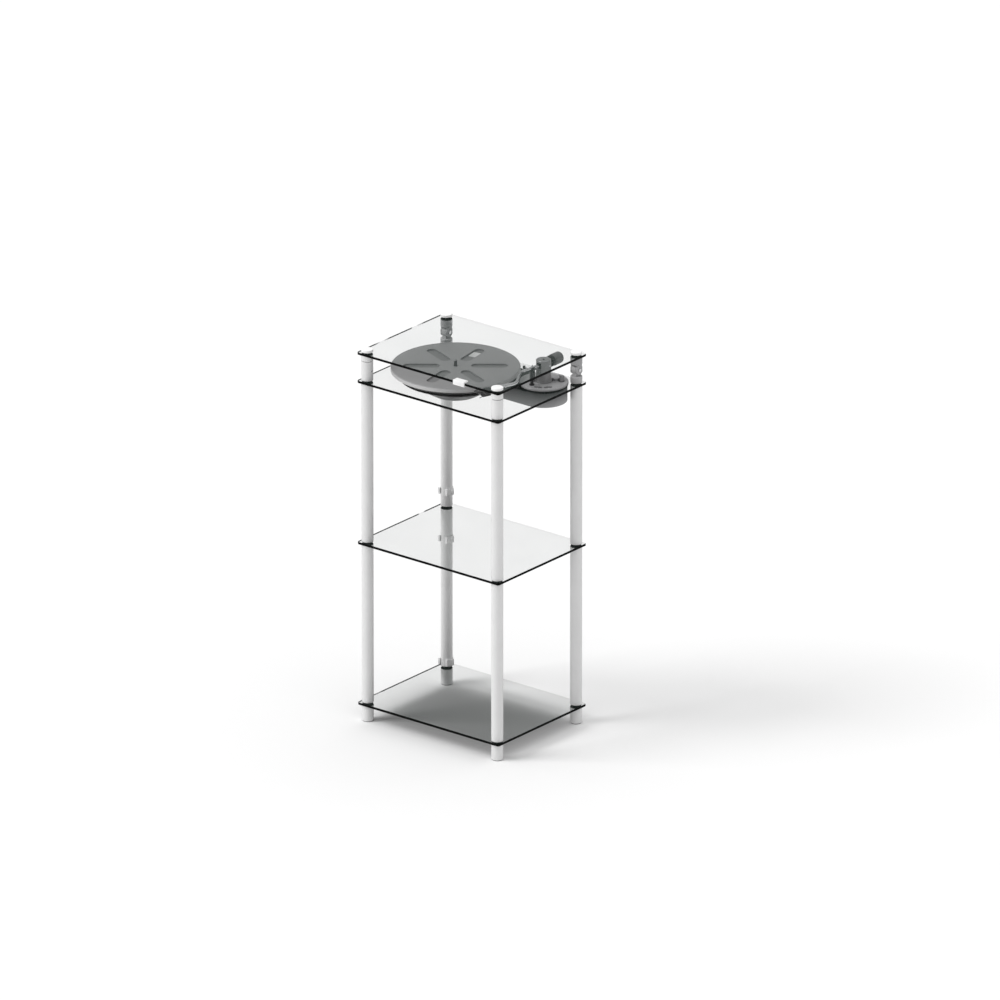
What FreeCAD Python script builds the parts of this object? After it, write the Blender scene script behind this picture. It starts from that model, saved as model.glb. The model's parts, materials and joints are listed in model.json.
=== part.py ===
import FreeCAD, Part
import math
import os
import re
import Sketcher

# Record player stand: glass panes on round tube posts, with a record player let into the top pane
# under a hinged glass lid.
# Frame: +Z up, +X along the long side, front at -Y, millimetres, floor at Z = 0.

SIZES = {
    # posts and glass
    "post_diameter": 28.0,
    "post_wall": 1.5,
    "glass_width": 420.0,
    "glass_depth": 326.0,
    "post_inset": 17.5,
    "glass_thick": 6.0,
    "glass_corner": 6.0,
    "glass_bevel": 0.5,
    "foot_height": 40.0,
    "bay_height": 394.0,
    "lid_space": 64.0,
    # joints between posts and glass
    "stud_diameter": 8.0,
    "stud_grip": 10.0,
    "stud_room": 1.0,
    "washer_diameter": 27.0,
    "washer_thick": 0.8,
    "plug_length": 14.0,
    "plug_play": 0.05,
    "glide_show": 1.5,
    "glide_diameter": 26.0,
    "glide_plug": 8.0,
    "post_chamfer": 0.4,
    # lid corners
    "cap_height": 6.0,
    "cap_round": 1.8,
    "cap_bore_depth": 3.5,
    "collar_height": 14.0,
    "pad_thick": 1.0,
    "pad_diameter": 24.0,
    "rest_gap": 0.3,
    # lid hinges
    "hinge_drop": 32.0,
    "hinge_base_height": 16.0,
    "hinge_head_height": 18.0,
    "knuckle_diameter": 23.0,
    "neck_width": 17.0,
    "lug_thick": 10.0,
    "ear_gap": 0.3,
    "ear_thick": 4.5,
    "pin_diameter": 5.0,
    "pin_play": 0.05,
    "pin_head_diameter": 8.0,
    "pin_head_thick": 1.2,
    "hinge_chamfer": 1.5,
    # lid handle
    "handle_x": 94.0,
    "handle_width": 32.0,
    "handle_reach": 16.0,
    "handle_wall": 3.0,
    "handle_round": 1.2,
    "handle_lip": 13.0,
    # cable clips on the rear left post
    "clip_wall": 1.5,
    "clip_height": 15.0,
    "clip_play": 0.1,
    "clip_mouth": 17.0,
    "clip_mouth_start": 7.0,
    "clip_lip": 3.2,
    "clip_level_upper": 484.0,
    "clip_level_middle": 365.0,
    "clip_level_lower": 58.0,
    "cable_bore": 3.6,
    "cable_mouth": 2.4,
    # platter and its drive
    "platter_x": -48.0,
    "platter_diameter": 300.0,
    "platter_thick": 9.5,
    "platter_rise": 26.5,
    "platter_round": 2.5,
    "platter_well_diameter": 250.0,
    "platter_well_depth": 3.0,
    "hub_diameter": 60.0,
    "hub_depth": 3.5,
    "slot_inner": 36.0,
    "slot_outer": 121.0,
    "slot_width": 25.0,
    "slot_depth": 3.4,
    "slot_turn": 38.8,
    "slot_count": 6.0,
    "spindle_diameter": 7.2,
    "spindle_rise": 15.0,
    "spindle_tip": 2.0,
    "spindle_tip_diameter": 3.6,
    "spindle_seat_diameter": 11.0,
    "spindle_seat_rise": 0.4,
    "shaft_diameter": 12.0,
    "shaft_play": 0.05,
    "bowl_gap": 2.0,
    "bowl_top_diameter": 294.0,
    "bowl_floor_diameter": 108.0,
    "bowl_drop": 34.0,
    "bowl_wall": 3.0,
    "bowl_lip": 4.0,
    "bowl_foot_round": 4.0,
    "deck_hole_room": 2.0,
    "gasket_width": 6.0,
    "gasket_height": 2.6,
    "gasket_play": 0.2,
    "bearing_diameter": 24.0,
    "bearing_flange_diameter": 48.0,
    "bearing_flange_thick": 3.0,
    "bearing_height": 36.0,
    "bearing_end": 3.0,
    "stator_diameter": 80.0,
    "stator_bore": 54.0,
    "stator_height": 12.0,
    "stator_yoke": 4.0,
    "stator_gap": 3.0,
    "stator_teeth": 12.0,
    "rotor_diameter": 96.0,
    "rotor_thick": 3.0,
    "rotor_skirt": 9.0,
    "rotor_rim": 4.0,
    "rotor_lift": 1.5,
    # tonearm housing under the deck
    "pod_inset_x": 72.0,
    "pod_inset_y": 70.0,
    "pod_diameter": 110.0,
    "pod_room": 1.0,
    "tongue_end_x": -14.0,
    "tongue_end_round": 40.0,
    "housing_wall": 2.5,
    "housing_gap": 0.5,
    "bowl_clearance": 0.3,
    "cover_diameter": 115.0,
    "cover_height": 6.0,
    "cover_chamfer": 1.2,
    "cover_gasket_thick": 1.5,
    "cover_spigot": 4.0,
    "cover_spigot_play": 0.3,
    "screw_diameter": 4.0,
    "screw_head_diameter": 7.0,
    "screw_head_height": 2.6,
    "screw_sink": 4.0,
    "cover_fixing_radius": 44.0,
    "screw_count": 3.0,
    "screw_turn": 15.0,
    "board_width": 60.0,
    "board_depth": 44.0,
    "board_thick": 1.6,
    "board_leg": 4.0,
    "board_leg_diameter": 5.0,
    # tonearm pillar and pivot
    "pillar_diameter": 35.0,
    "pillar_flange_diameter": 39.0,
    "pillar_flange_thick": 3.5,
    "pillar_height": 22.0,
    "arm_bush_diameter": 18.0,
    "arm_shaft_diameter": 10.0,
    "arm_shaft_length": 16.0,
    "yoke_gap": 0.4,
    "yoke_round": 0.8,
    "arm_rise": 47.5,
    "yoke_top_rise": 59.0,
    "arm_window_width": 13.0,
    "arm_window_height": 14.0,
    "gimbal_pin_diameter": 3.0,
    "gimbal_block_play": 0.4,
    "gimbal_block_height": 10.4,
    "gimbal_block_length": 12.0,
    "arm_seat_gap": 0.4,
    "weight_turn": 90.0,
    # tonearm, measured from its pivot
    "arm_tube_diameter": 8.0,
    "arm_tube_bore": 6.0,
    "bend_near_reach": 74.6,
    "bend_far_x": 27.5,
    "bend_far_y": -134.0,
    "arm_end_x": 5.0,
    "arm_end_y": -194.0,
    "bend_near_radius": 28.0,
    "bend_far_radius": 26.0,
    "nut_diameter": 12.0,
    "nut_length": 10.0,
    "nut_play": 0.05,
    "shell_length": 46.0,
    "shell_width": 19.0,
    "shell_tail_width": 11.0,
    "shell_tail_length": 11.5,
    "lift_tab_start": 34.5,
    "shell_tip_width": 14.0,
    "shell_thick": 3.0,
    "shell_plug_length": 9.0,
    "shell_plug_diameter": 5.8,
    "shell_hole_diameter": 3.0,
    "shell_hole_pitch": 12.7,
    "lift_tab_length": 17.0,
    "lift_tab_width": 3.0,
    "lift_tab_thick": 1.2,
    "cartridge_length": 27.0,
    "cartridge_width": 16.5,
    "cartridge_height": 11.6,
    "cartridge_nose": 7.0,
    "cartridge_nose_height": 4.0,
    "cartridge_set_back": 10.0,
    "stylus_drop": 4.6,
    "stylus_body_width": 6.0,
    "stylus_body_length": 12.0,
    "stylus_body_height": 2.4,
    "stylus_tip_diameter": 0.8,
    # counterweight
    "stub_diameter": 7.0,
    "dial_start": 20.5,
    "dial_length": 8.5,
    "dial_diameter": 26.5,
    "dial_groove_count": 24.0,
    "dial_groove_depth": 0.7,
    "dial_groove_width": 1.2,
    "weight_gap": 0.4,
    "weight_length": 30.3,
    "weight_diameter": 28.0,
    "weight_round": 5.0,
    "weight_waist": 1.0,
    "weight_waist_length": 4.0,
    "thread_play": 0.05,
    # arm rest, cueing lift and controls on the cover
    "rest_reach": 38.0,
    "rest_turn": 262.7,
    "rest_post_diameter": 7.0,
    "rest_arm_gap": 0.4,
    "rest_cradle_width": 15.0,
    "rest_cradle_length": 6.0,
    "rest_wall": 2.4,
    "lift_reach": 26.5,
    "lift_turn": 222.0,
    "lift_arc_start": 206.0,
    "lift_arc_end": 272.0,
    "lift_rod_diameter": 3.2,
    "lift_gap": 0.3,
    "lift_stem_diameter": 4.0,
    "lift_stem_length": 20.0,
    "lift_column_diameter": 8.0,
    "lift_column_flange": 13.0,
    "lift_column_height": 27.5,
    "cue_ring_diameter": 13.0,
    "cue_ring_thick": 3.6,
    "cue_ring_drop": 0.8,
    "cue_lever_length": 30.0,
    "cue_lever_width": 4.0,
    "cue_lever_turn": 173.0,
    "cue_knob_diameter": 6.4,
    "cue_knob_height": 3.0,
    "knob_x": 17.0,
    "knob_y": 24.0,
    "knob_diameter": 18.0,
    "knob_height": 5.0,
    "knob_shaft_diameter": 5.0,
    "knob_shaft_length": 7.0,
    "knob_gap": 0.4,
    "knob_groove_count": 20.0,
    "knob_groove_width": 1.0,
    "knob_groove_depth": 0.5,
    "knob_skirt": 1.5,
    "speed_radius": 42.5,
    "speed_near_turn": 291.0,
    "speed_far_turn": 322.0,
    "speed_length": 17.0,
    "speed_width": 4.4,
    "speed_rise": 2.2,
    "button_play": 0.3,
    "button_foot": 1.2,
    "power_x": 33.0,
    "power_y": 25.0,
    "power_diameter": 10.0,
    "power_rise": 14.0,
    "power_round": 0.8,
    # cutting
    "overrun": 2.0,
}

doc = FreeCAD.newDocument("record_player_stand")
sheet = doc.addObject("Spreadsheet::Sheet", "Sizes")
for row, (alias, size) in enumerate(SIZES.items(), start=1):
    sheet.set("A%d" % row, alias)
    sheet.set("B%d" % row, str(size))
    sheet.setAlias("B%d" % row, alias)
doc.recompute()

# Two places this close are taken as the same
NEAR = 0.01

# Levels, as expressions of the named sizes, measured up from the floor
BOTTOM_LOW = "foot_height"
BOTTOM_TOP = "(foot_height + glass_thick)"
MIDDLE_LOW = "(foot_height + glass_thick + bay_height)"
MIDDLE_TOP = "(foot_height + 2 * glass_thick + bay_height)"
DECK_LOW = "(foot_height + 2 * glass_thick + 2 * bay_height)"
DECK_TOP = "(foot_height + 3 * glass_thick + 2 * bay_height)"
LID_LOW = "(foot_height + 3 * glass_thick + 2 * bay_height + lid_space)"
LID_TOP = "(foot_height + 4 * glass_thick + 2 * bay_height + lid_space)"
HINGE_LEVEL = "(%s - hinge_drop)" % LID_LOW
PLATTER_TOP = "(%s + platter_rise)" % DECK_TOP
PLATTER_LOW = "(%s + platter_rise - platter_thick)" % DECK_TOP
BOWL_TOP = "(%s - bowl_gap)" % PLATTER_LOW
BOWL_LOW = "(%s - bowl_drop)" % DECK_LOW
COVER_LOW = DECK_TOP
COVER_TOP = "(%s + cover_height)" % DECK_TOP
PILLAR_TOP = "(%s + pillar_height)" % COVER_TOP
ARM_LEVEL = "(%s + arm_rise)" % DECK_TOP

# The yoke faces halfway between the arm's first stretch and the line opposite the counterweight
YOKE_TURN = "((rest_turn + weight_turn + 180) / 2 - 270)"

# The lid handle stands in front of the glass, so the stand sits half its wall back from the frame's origin
SETBACK = "handle_wall / 2"

# The posts stand in from the panes' corners, and the arm's pod in from the rear right one
POST_X = "(glass_width / 2 - post_inset)"
POST_Y = "(glass_depth / 2 - post_inset)"
POD_X = "(glass_width / 2 - pod_inset_x)"
POD_Y = "(glass_depth / 2 - pod_inset_y)"

CORNERS = {
    "front_left": ("-" + POST_X, "-" + POST_Y),
    "front_right": (POST_X, "-" + POST_Y),
    "rear_left": ("-" + POST_X, POST_Y),
    "rear_right": (POST_X, POST_Y),
}
FRONT = ("front_left", "front_right")
REAR = ("rear_left", "rear_right")

nodes = []


def bound(text):
    """The expression with each size's name given its sheet."""
    return re.sub(r"\b([a-z]\w*)\b(?!\()", r"Sizes.\1", str(text))


def value(text):
    """What an expression of the named sizes comes to."""
    return float(sheet.evalExpression(str(text)))


def place(item, x="0", y="0", z="0"):
    """Ties an object's place to the sheet."""
    item.setExpression("Placement.Base.x", bound(x))
    item.setExpression("Placement.Base.y", bound("%s + %s" % (y, SETBACK)))
    item.setExpression("Placement.Base.z", bound(z))


def turn(item, angle, axis=(0, 0, 1)):
    """Turns an object about an axis through its own origin by an angle tied to the sheet."""
    item.Placement.Rotation = FreeCAD.Rotation(FreeCAD.Vector(*axis), value(angle))
    item.setExpression("Placement.Rotation.Angle", bound(angle))


def node(item, label):
    """Registers an object as a sub-part under its own name."""
    item.Label = label
    nodes.append(item)
    return item


def body(name):
    return doc.addObject("PartDesign::Body", name)


def sketch(host, plane="XY", offset="0"):
    """A sketch on one of the body's own origin planes, raised along its normal."""
    drawing = host.newObject("Sketcher::SketchObject", host.Name + "_sketch")
    base = [item for item in host.Origin.OriginFeatures if item.Role == plane + "_Plane"][0]
    drawing.AttachmentSupport = [(base, "")]
    drawing.MapMode = "FlatFace"
    drawing.setExpression("AttachmentOffset.Base.z", bound(offset))
    return drawing


def fix_point(drawing, curve, point, x, y):
    """Holds one point of a curve at a place tied to the sheet."""
    for kind, distance in (("DistanceX", x), ("DistanceY", y)):
        index = drawing.addConstraint(Sketcher.Constraint(kind, curve, point, value(distance)))
        drawing.setExpression("Constraints[%d]" % index, bound(distance))


def circle(drawing, diameter, x="0", y="0"):
    middle = FreeCAD.Vector(value(x), value(y), 0)
    curve = drawing.addGeometry(Part.Circle(middle, FreeCAD.Vector(0, 0, 1), value(diameter) / 2), False)
    fix_point(drawing, curve, 3, x, y)
    index = drawing.addConstraint(Sketcher.Constraint("Diameter", curve, value(diameter)))
    drawing.setExpression("Constraints[%d]" % index, bound(diameter))
    return curve


def outline(drawing, points):
    """A closed outline of straight sides through points tied to the sheet."""
    spots = [FreeCAD.Vector(value(x), value(y), 0) for x, y in points]
    first = drawing.GeometryCount
    for index, spot in enumerate(spots):
        drawing.addGeometry(Part.LineSegment(spot, spots[(index + 1) % len(spots)]), False)
    for index, (x, y) in enumerate(points):
        following = first + (index + 1) % len(points)
        drawing.addConstraint(Sketcher.Constraint("Coincident", first + index, 2, following, 1))
        fix_point(drawing, first + index, 1, x, y)


def rectangle(drawing, x_low, y_low, x_high, y_high):
    outline(drawing, [(x_low, y_low), (x_high, y_low), (x_high, y_high), (x_low, y_high)])


def rounded_bar(drawing, start, end, width):
    """A slot outline along the sketch's X, with round ends that reach start and end."""
    low = "(%s + %s / 2)" % (start, width)
    high = "(%s - %s / 2)" % (end, width)
    up = FreeCAD.Vector(0, 0, 1)
    radius = value(width) / 2
    left, right = FreeCAD.Vector(value(low), 0, 0), FreeCAD.Vector(value(high), 0, 0)
    side = FreeCAD.Vector(0, radius, 0)
    first = drawing.GeometryCount
    drawing.addGeometry(Part.LineSegment(left - side, right - side), False)
    drawing.addGeometry(Part.ArcOfCircle(Part.Circle(right, up, radius), -math.pi / 2, math.pi / 2), False)
    drawing.addGeometry(Part.LineSegment(right + side, left + side), False)
    drawing.addGeometry(Part.ArcOfCircle(Part.Circle(left, up, radius), math.pi / 2, 3 * math.pi / 2), False)
    for index in range(4):
        following = first + (index + 1) % 4
        drawing.addConstraint(Sketcher.Constraint("Tangent", first + index, 2, following, 1))
    fix_point(drawing, first + 1, 3, high, "0")
    fix_point(drawing, first + 3, 3, low, "0")
    index = drawing.addConstraint(Sketcher.Constraint("Radius", first + 1, radius))
    drawing.setExpression("Constraints[%d]" % index, bound(width + " / 2"))


def pad(host, drawing, length, both_sides=False):
    feature = host.newObject("PartDesign::Pad", host.Name + "_pad")
    feature.Profile = drawing
    feature.setExpression("Length", bound(length))
    feature.Midplane = both_sides
    drawing.Visibility = False
    return feature


def cut(host, drawing, depth, upwards=False, both_sides=False):
    """A pocket that has to take something away: down from its sketch, or up if asked."""
    doc.recompute()
    before = host.Shape.Volume
    feature = host.newObject("PartDesign::Pocket", host.Name + "_pocket")
    feature.Profile = drawing
    feature.setExpression("Length", bound(depth))
    feature.Reversed = upwards
    feature.Midplane = both_sides
    doc.recompute()
    if not feature.Shape.Volume < before:
        raise RuntimeError(host.Name + ": a pocket cut nothing")
    return feature


def spin(host, drawing, groove=False):
    """Turns a profile a full circle about its sketch's upright axis, to add or to cut."""
    doc.recompute()
    before = host.Shape.Volume if groove else 0
    kind = "PartDesign::Groove" if groove else "PartDesign::Revolution"
    feature = host.newObject(kind, host.Name + ("_groove" if groove else "_turned"))
    feature.Profile = drawing
    feature.ReferenceAxis = (drawing, ["V_Axis"])
    feature.Angle = 360
    doc.recompute()
    if groove and not feature.Shape.Volume < before:
        raise RuntimeError(host.Name + ": a groove cut nothing")
    return feature


def around(host, drawing, feature, count):
    """Repeats a feature evenly about the axis square to its sketch."""
    pattern = host.newObject("PartDesign::PolarPattern", host.Name + "_pattern")
    pattern.Originals = [feature]
    pattern.Axis = (drawing, ["N_Axis"])
    pattern.Angle = 360
    pattern.setExpression("Occurrences", bound(count))
    host.Tip = pattern
    doc.recompute()
    return pattern


def edges_where(host, test):
    """The names of a body's edges that pass a test."""
    doc.recompute()
    return ["Edge%d" % (index + 1) for index, edge in enumerate(host.Tip.Shape.Edges) if test(edge)]


def ease(host, kind, size, test):
    """Rounds or bevels the edges that pass a test."""
    names = edges_where(host, test)
    if not names:
        raise RuntimeError(host.Name + ": no edge to ease")
    base = host.Tip
    feature = host.newObject("PartDesign::" + kind, host.Name + "_" + kind.lower())
    feature.Base = (base, names)
    feature.setExpression("Radius" if kind == "Fillet" else "Size", bound(size))
    doc.recompute()
    return feature


def round_edge_at(height, diameter):
    """A test for a full circle of a diameter at a height."""
    def test(edge):
        curve = edge.Curve
        if not isinstance(curve, Part.Circle):
            return False
        close = abs(curve.Radius - value(diameter) / 2) < NEAR
        return close and abs(curve.Center.z - value(height)) < NEAR
    return test


def ring(name, outer, inner, height, x="0", y="0", z="0"):
    """A plain ring or disc as a body: outer and inner diameters, height, and place."""
    host = body(name)
    drawing = sketch(host)
    circle(drawing, outer)
    if inner is not None:
        circle(drawing, inner)
    pad(host, drawing, height)
    place(host, x, y, z)
    return host


def group(label, members):
    """Identical pieces that share one node, each a separate solid."""
    compound = doc.addObject("Part::Compound", label)
    compound.Links = members
    return node(compound, label)


# Posts: round tubes between the panes

def tube(name, corner, low, length):
    x, y = CORNERS[corner]
    host = ring(name, "post_diameter", "post_diameter - 2 * post_wall", length, x, y, low)
    for level in ("0", length):
        ease(host, "Chamfer", "post_chamfer", round_edge_at(level, "post_diameter"))
    return host


def build_posts():
    feet = []
    for corner in CORNERS:
        short_tube = "foot_height - glide_show - washer_thick"
        feet.append(tube("foot_tube_" + corner, corner, "glide_show", short_tube))
        long_tube = "bay_height - 2 * washer_thick"
        for label, level in (("lower_post_", BOTTOM_TOP), ("upper_post_", MIDDLE_TOP)):
            node(tube(label + corner, corner, level + " + washer_thick", long_tube), label + corner)
    group("foot_tubes", feet)
    top_tube = "lid_space - collar_height - washer_thick * 2 - pad_thick - rest_gap"
    tops = []
    for corner in FRONT:
        tops.append(tube("front_post_top_" + corner, corner, DECK_TOP + " + washer_thick", top_tube))
    group("front_post_tops", tops)


def build_glides():
    glides = []
    for corner, (x, y) in CORNERS.items():
        host = ring("foot_glide_" + corner, "glide_diameter", None, "glide_show", x, y)
        spigot = sketch(host)
        circle(spigot, "post_diameter - 2 * post_wall - 2 * plug_play")
        pad(host, spigot, "glide_show + glide_plug")
        ease(host, "Chamfer", "post_chamfer", round_edge_at("0", "glide_diameter"))
        glides.append(host)
    group("foot_glides", glides)


# Glass: panes with a hole for each post's stud and ground edges

def pane(name, low):
    host = body(name)
    drawing = sketch(host)
    rectangle(drawing, "-glass_width / 2", "-glass_depth / 2", "glass_width / 2", "glass_depth / 2")
    for x, y in CORNERS.values():
        circle(drawing, "stud_diameter + 2 * stud_room", x, y)
    pad(host, drawing, "glass_thick")
    half_width = value("glass_width") / 2
    half_depth = value("glass_depth") / 2

    def upright_corner(edge):
        middle = edge.CenterOfMass
        return abs(abs(middle.x) - half_width) < NEAR and abs(abs(middle.y) - half_depth) < NEAR

    def rim(edge):
        box = edge.BoundBox
        outside = max(abs(box.XMin), abs(box.XMax)) > half_width - NEAR
        outside = outside or max(abs(box.YMin), abs(box.YMax)) > half_depth - NEAR
        return box.ZLength < NEAR and outside

    ease(host, "Fillet", "glass_corner", upright_corner)
    ease(host, "Chamfer", "glass_bevel", rim)
    place(host, z=low)
    return host


def build_panes():
    node(pane("bottom_shelf", BOTTOM_LOW), "bottom_shelf")
    node(pane("middle_shelf", MIDDLE_LOW), "middle_shelf")
    deck = pane("deck_glass", DECK_LOW)
    openings = sketch(deck, offset="glass_thick")
    circle(openings, "%s + 2 * deck_hole_room" % bowl_diameter(DECK_TOP), "platter_x", "0")
    circle(openings, "pod_diameter + 2 * pod_room", POD_X, POD_Y)
    cut(deck, openings, "glass_thick + overrun")
    node(deck, "deck_glass")
    node(pane("lid_glass", LID_LOW), "lid_glass")


# Studs, threaded plugs and washers that clamp the panes between the tubes

def disc_at(name, corner, diameter, bore, height, low):
    x, y = CORNERS[corner]
    return ring(name, diameter, bore, height, x, y, low)


def build_fasteners():
    studs, plugs, washers = [], [], []
    plug_outer = "post_diameter - 2 * post_wall - 2 * plug_play"
    stud_length = "glass_thick + 2 * washer_thick + 2 * stud_grip"
    levels = (
        ("bottom", BOTTOM_LOW, BOTTOM_TOP), ("middle", MIDDLE_LOW, MIDDLE_TOP), ("deck", DECK_LOW, DECK_TOP),
    )
    for level, low, top in levels:
        for corner in CORNERS:
            tail = "_%s_%s" % (level, corner)
            stud_low = low + " - washer_thick - stud_grip"
            studs.append(disc_at("stud" + tail, corner, "stud_diameter", None, stud_length, stud_low))
            places = [("below", low + " - washer_thick - plug_length")]
            if level != "deck" or corner in FRONT:
                places.append(("above", top + " + washer_thick"))
            for side, plug_low in places:
                name = "plug_" + side + tail
                bore = "stud_diameter + 2 * thread_play"
                plugs.append(disc_at(name, corner, plug_outer, bore, "plug_length", plug_low))
            for side, washer_low in (("below", low + " - washer_thick"), ("above", top)):
                name = "washer_" + side + tail
                bore = "stud_diameter + stud_room"
                washers.append(disc_at(name, corner, "washer_diameter", bore, "washer_thick", washer_low))
    for corner in FRONT:
        top = LID_LOW + " - washer_thick - collar_height - rest_gap - pad_thick"
        name = "plug_top_" + corner
        plugs.append(disc_at(name, corner, plug_outer, None, "plug_length", top + " - plug_length"))
    group("post_studs", studs)
    group("tube_plugs", plugs)
    group("post_washers", washers)


# Lid corners: caps and studs over the pane, collars under it, and pads that the front collars close on

def build_lid_corners():
    caps, studs, washers = [], [], []
    for corner, (x, y) in CORNERS.items():
        cap_low = LID_TOP + " + washer_thick"
        cap = ring("lid_cap_" + corner, "post_diameter", None, "cap_height", x, y, cap_low)
        bore = sketch(cap)
        circle(bore, "stud_diameter + 2 * thread_play")
        cut(cap, bore, "cap_bore_depth", upwards=True)
        ease(cap, "Fillet", "cap_round", round_edge_at("cap_height", "post_diameter"))
        caps.append(cap)
        stud_low = LID_LOW + " - washer_thick - stud_grip"
        length = "stud_grip + glass_thick + 2 * washer_thick + cap_bore_depth - stud_room / 2"
        studs.append(disc_at("lid_stud_" + corner, corner, "stud_diameter", None, length, stud_low))
        for side, low in (("below", LID_LOW + " - washer_thick"), ("above", LID_TOP)):
            name = "lid_washer_%s_%s" % (side, corner)
            bore_size = "stud_diameter + stud_room"
            washers.append(disc_at(name, corner, "washer_diameter", bore_size, "washer_thick", low))
    group("lid_caps", caps)
    group("lid_studs", studs)
    group("lid_washers", washers)
    collars, pads = [], []
    for corner in FRONT:
        x, y = CORNERS[corner]
        low = LID_LOW + " - washer_thick - collar_height"
        collar = ring("lid_collar_" + corner, "post_diameter", None, "collar_height", x, y, low)
        bore = sketch(collar, offset="collar_height")
        circle(bore, "stud_diameter + 2 * thread_play")
        cut(collar, bore, "stud_grip + stud_room")
        for level in ("0", "collar_height"):
            ease(collar, "Chamfer", "post_chamfer", round_edge_at(level, "post_diameter"))
        collars.append(collar)
        pad_low = low + " - rest_gap - pad_thick"
        pads.append(ring("lid_pad_" + corner, "pad_diameter", None, "pad_thick", x, y, pad_low))
    group("lid_collars", collars)
    group("lid_pads", pads)


# Lid hinges: a lug on each rear post, held between the two ears of a head under the lid

def knuckle(host, root, side_low, side_high, plane_side="YZ"):
    """A neck and a round knuckle between two planes across the pin's axis, about the body's own origin."""
    middle = "(%s + %s) / 2" % (side_low, side_high)
    thick = "%s - (%s)" % (side_high, side_low)
    neck = sketch(host, plane_side, middle)
    rectangle(neck, "-neck_width / 2", "0", "neck_width / 2", root)
    pad(host, neck, thick, both_sides=True)
    round_part = sketch(host, plane_side, middle)
    circle(round_part, "knuckle_diameter")
    pad(host, round_part, thick, both_sides=True)


def trim_to_post(host, low, height):
    """Cuts away what stands out of the post's own round."""
    drawing = sketch(host, offset=low)
    circle(drawing, "post_diameter")
    circle(drawing, "2 * post_diameter")
    cut(host, drawing, height, upwards=True)


def pin_hole(host, diameter):
    drawing = sketch(host, "YZ", "-post_diameter")
    circle(drawing, diameter)
    cut(host, drawing, "2 * post_diameter", upwards=True)


def build_hinges():
    bases, heads, pins = [], [], []
    ear_low = "lug_thick / 2 + ear_gap"
    ear_high = "lug_thick / 2 + ear_gap + ear_thick"
    base_floor = "(%s + washer_thick - %s)" % (DECK_TOP, HINGE_LEVEL)
    base_top = "(%s + washer_thick + hinge_base_height - %s)" % (DECK_TOP, HINGE_LEVEL)
    head_top = "(hinge_drop - washer_thick)"
    head_low = "(hinge_drop - washer_thick - hinge_head_height)"
    for corner in REAR:
        x, y = CORNERS[corner]
        base = body("hinge_base_" + corner)
        drawing = sketch(base, offset=base_floor)
        circle(drawing, "post_diameter")
        pad(base, drawing, "hinge_base_height")
        ease(base, "Chamfer", "hinge_chamfer", round_edge_at(base_top, "post_diameter"))
        knuckle(base, base_top + " - hinge_chamfer", "-lug_thick / 2", "lug_thick / 2")
        pin_hole(base, "pin_diameter")
        bore = sketch(base, offset=base_floor)
        circle(bore, "stud_diameter + 2 * thread_play")
        cut(base, bore, "stud_grip + stud_room", upwards=True)
        place(base, x, y, HINGE_LEVEL)
        bases.append(base)

        head = body("hinge_head_" + corner)
        drawing = sketch(head, offset=head_low)
        circle(drawing, "post_diameter")
        pad(head, drawing, "hinge_head_height")
        ease(head, "Chamfer", "hinge_chamfer", round_edge_at(head_low, "post_diameter"))
        for low, high in ((ear_low, ear_high), ("-(%s)" % ear_high, "-(%s)" % ear_low)):
            knuckle(head, head_low + " + hinge_chamfer", low, high)
        trim_to_post(head, "-knuckle_diameter", head_low + " + knuckle_diameter")
        pin_hole(head, "pin_diameter + 2 * pin_play")
        bore = sketch(head, offset=head_top)
        circle(bore, "stud_diameter + 2 * thread_play")
        cut(head, bore, "stud_grip + stud_room")
        place(head, x, y, HINGE_LEVEL)
        heads.append(head)

        pin = body("hinge_pin_" + corner)
        shank = sketch(pin, "YZ", "-(%s) - rest_gap" % ear_high)
        circle(shank, "pin_diameter")
        pad(pin, shank, "2 * (%s + rest_gap)" % ear_high)
        for low in ("-(%s) - rest_gap - pin_head_thick" % ear_high, "%s + rest_gap" % ear_high):
            rivet = sketch(pin, "YZ", low)
            circle(rivet, "pin_head_diameter")
            pad(pin, rivet, "pin_head_thick")
        place(pin, x, y, HINGE_LEVEL)
        pins.append(pin)
    group("hinge_bases", bases)
    group("hinge_heads", heads)
    group("hinge_pins", pins)


# Lid handle: a folded grip clipped over the front edge of the lid

def build_handle():
    host = body("lid_handle")
    drawing = sketch(host, "YZ", "-handle_width / 2")
    front = "-glass_depth / 2 - handle_wall"
    back = "-glass_depth / 2 - handle_wall + handle_reach"
    edge = "-glass_depth / 2"
    low = "-handle_wall"
    high = "glass_thick + handle_wall"
    shorter = front + " + handle_lip"
    outline(drawing, [
        (front, low), (shorter, low), (shorter, "0"), (edge, "0"),
        (edge, "glass_thick"), (back, "glass_thick"), (back, high), (front, high),
    ])
    pad(host, drawing, "handle_width")
    front_y = value(front)
    half = value("handle_width") / 2

    def front_corner(edge_shape):
        box = edge_shape.BoundBox
        return box.YLength < NEAR and abs(box.YMin - front_y) < NEAR and box.XLength > half

    ease(host, "Fillet", "handle_round", front_corner)
    place(host, "handle_x", "0", LID_LOW)
    node(host, "lid_handle")


# Cable clips: sprung C rings on the rear left post, each with a small loop for a lead

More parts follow.
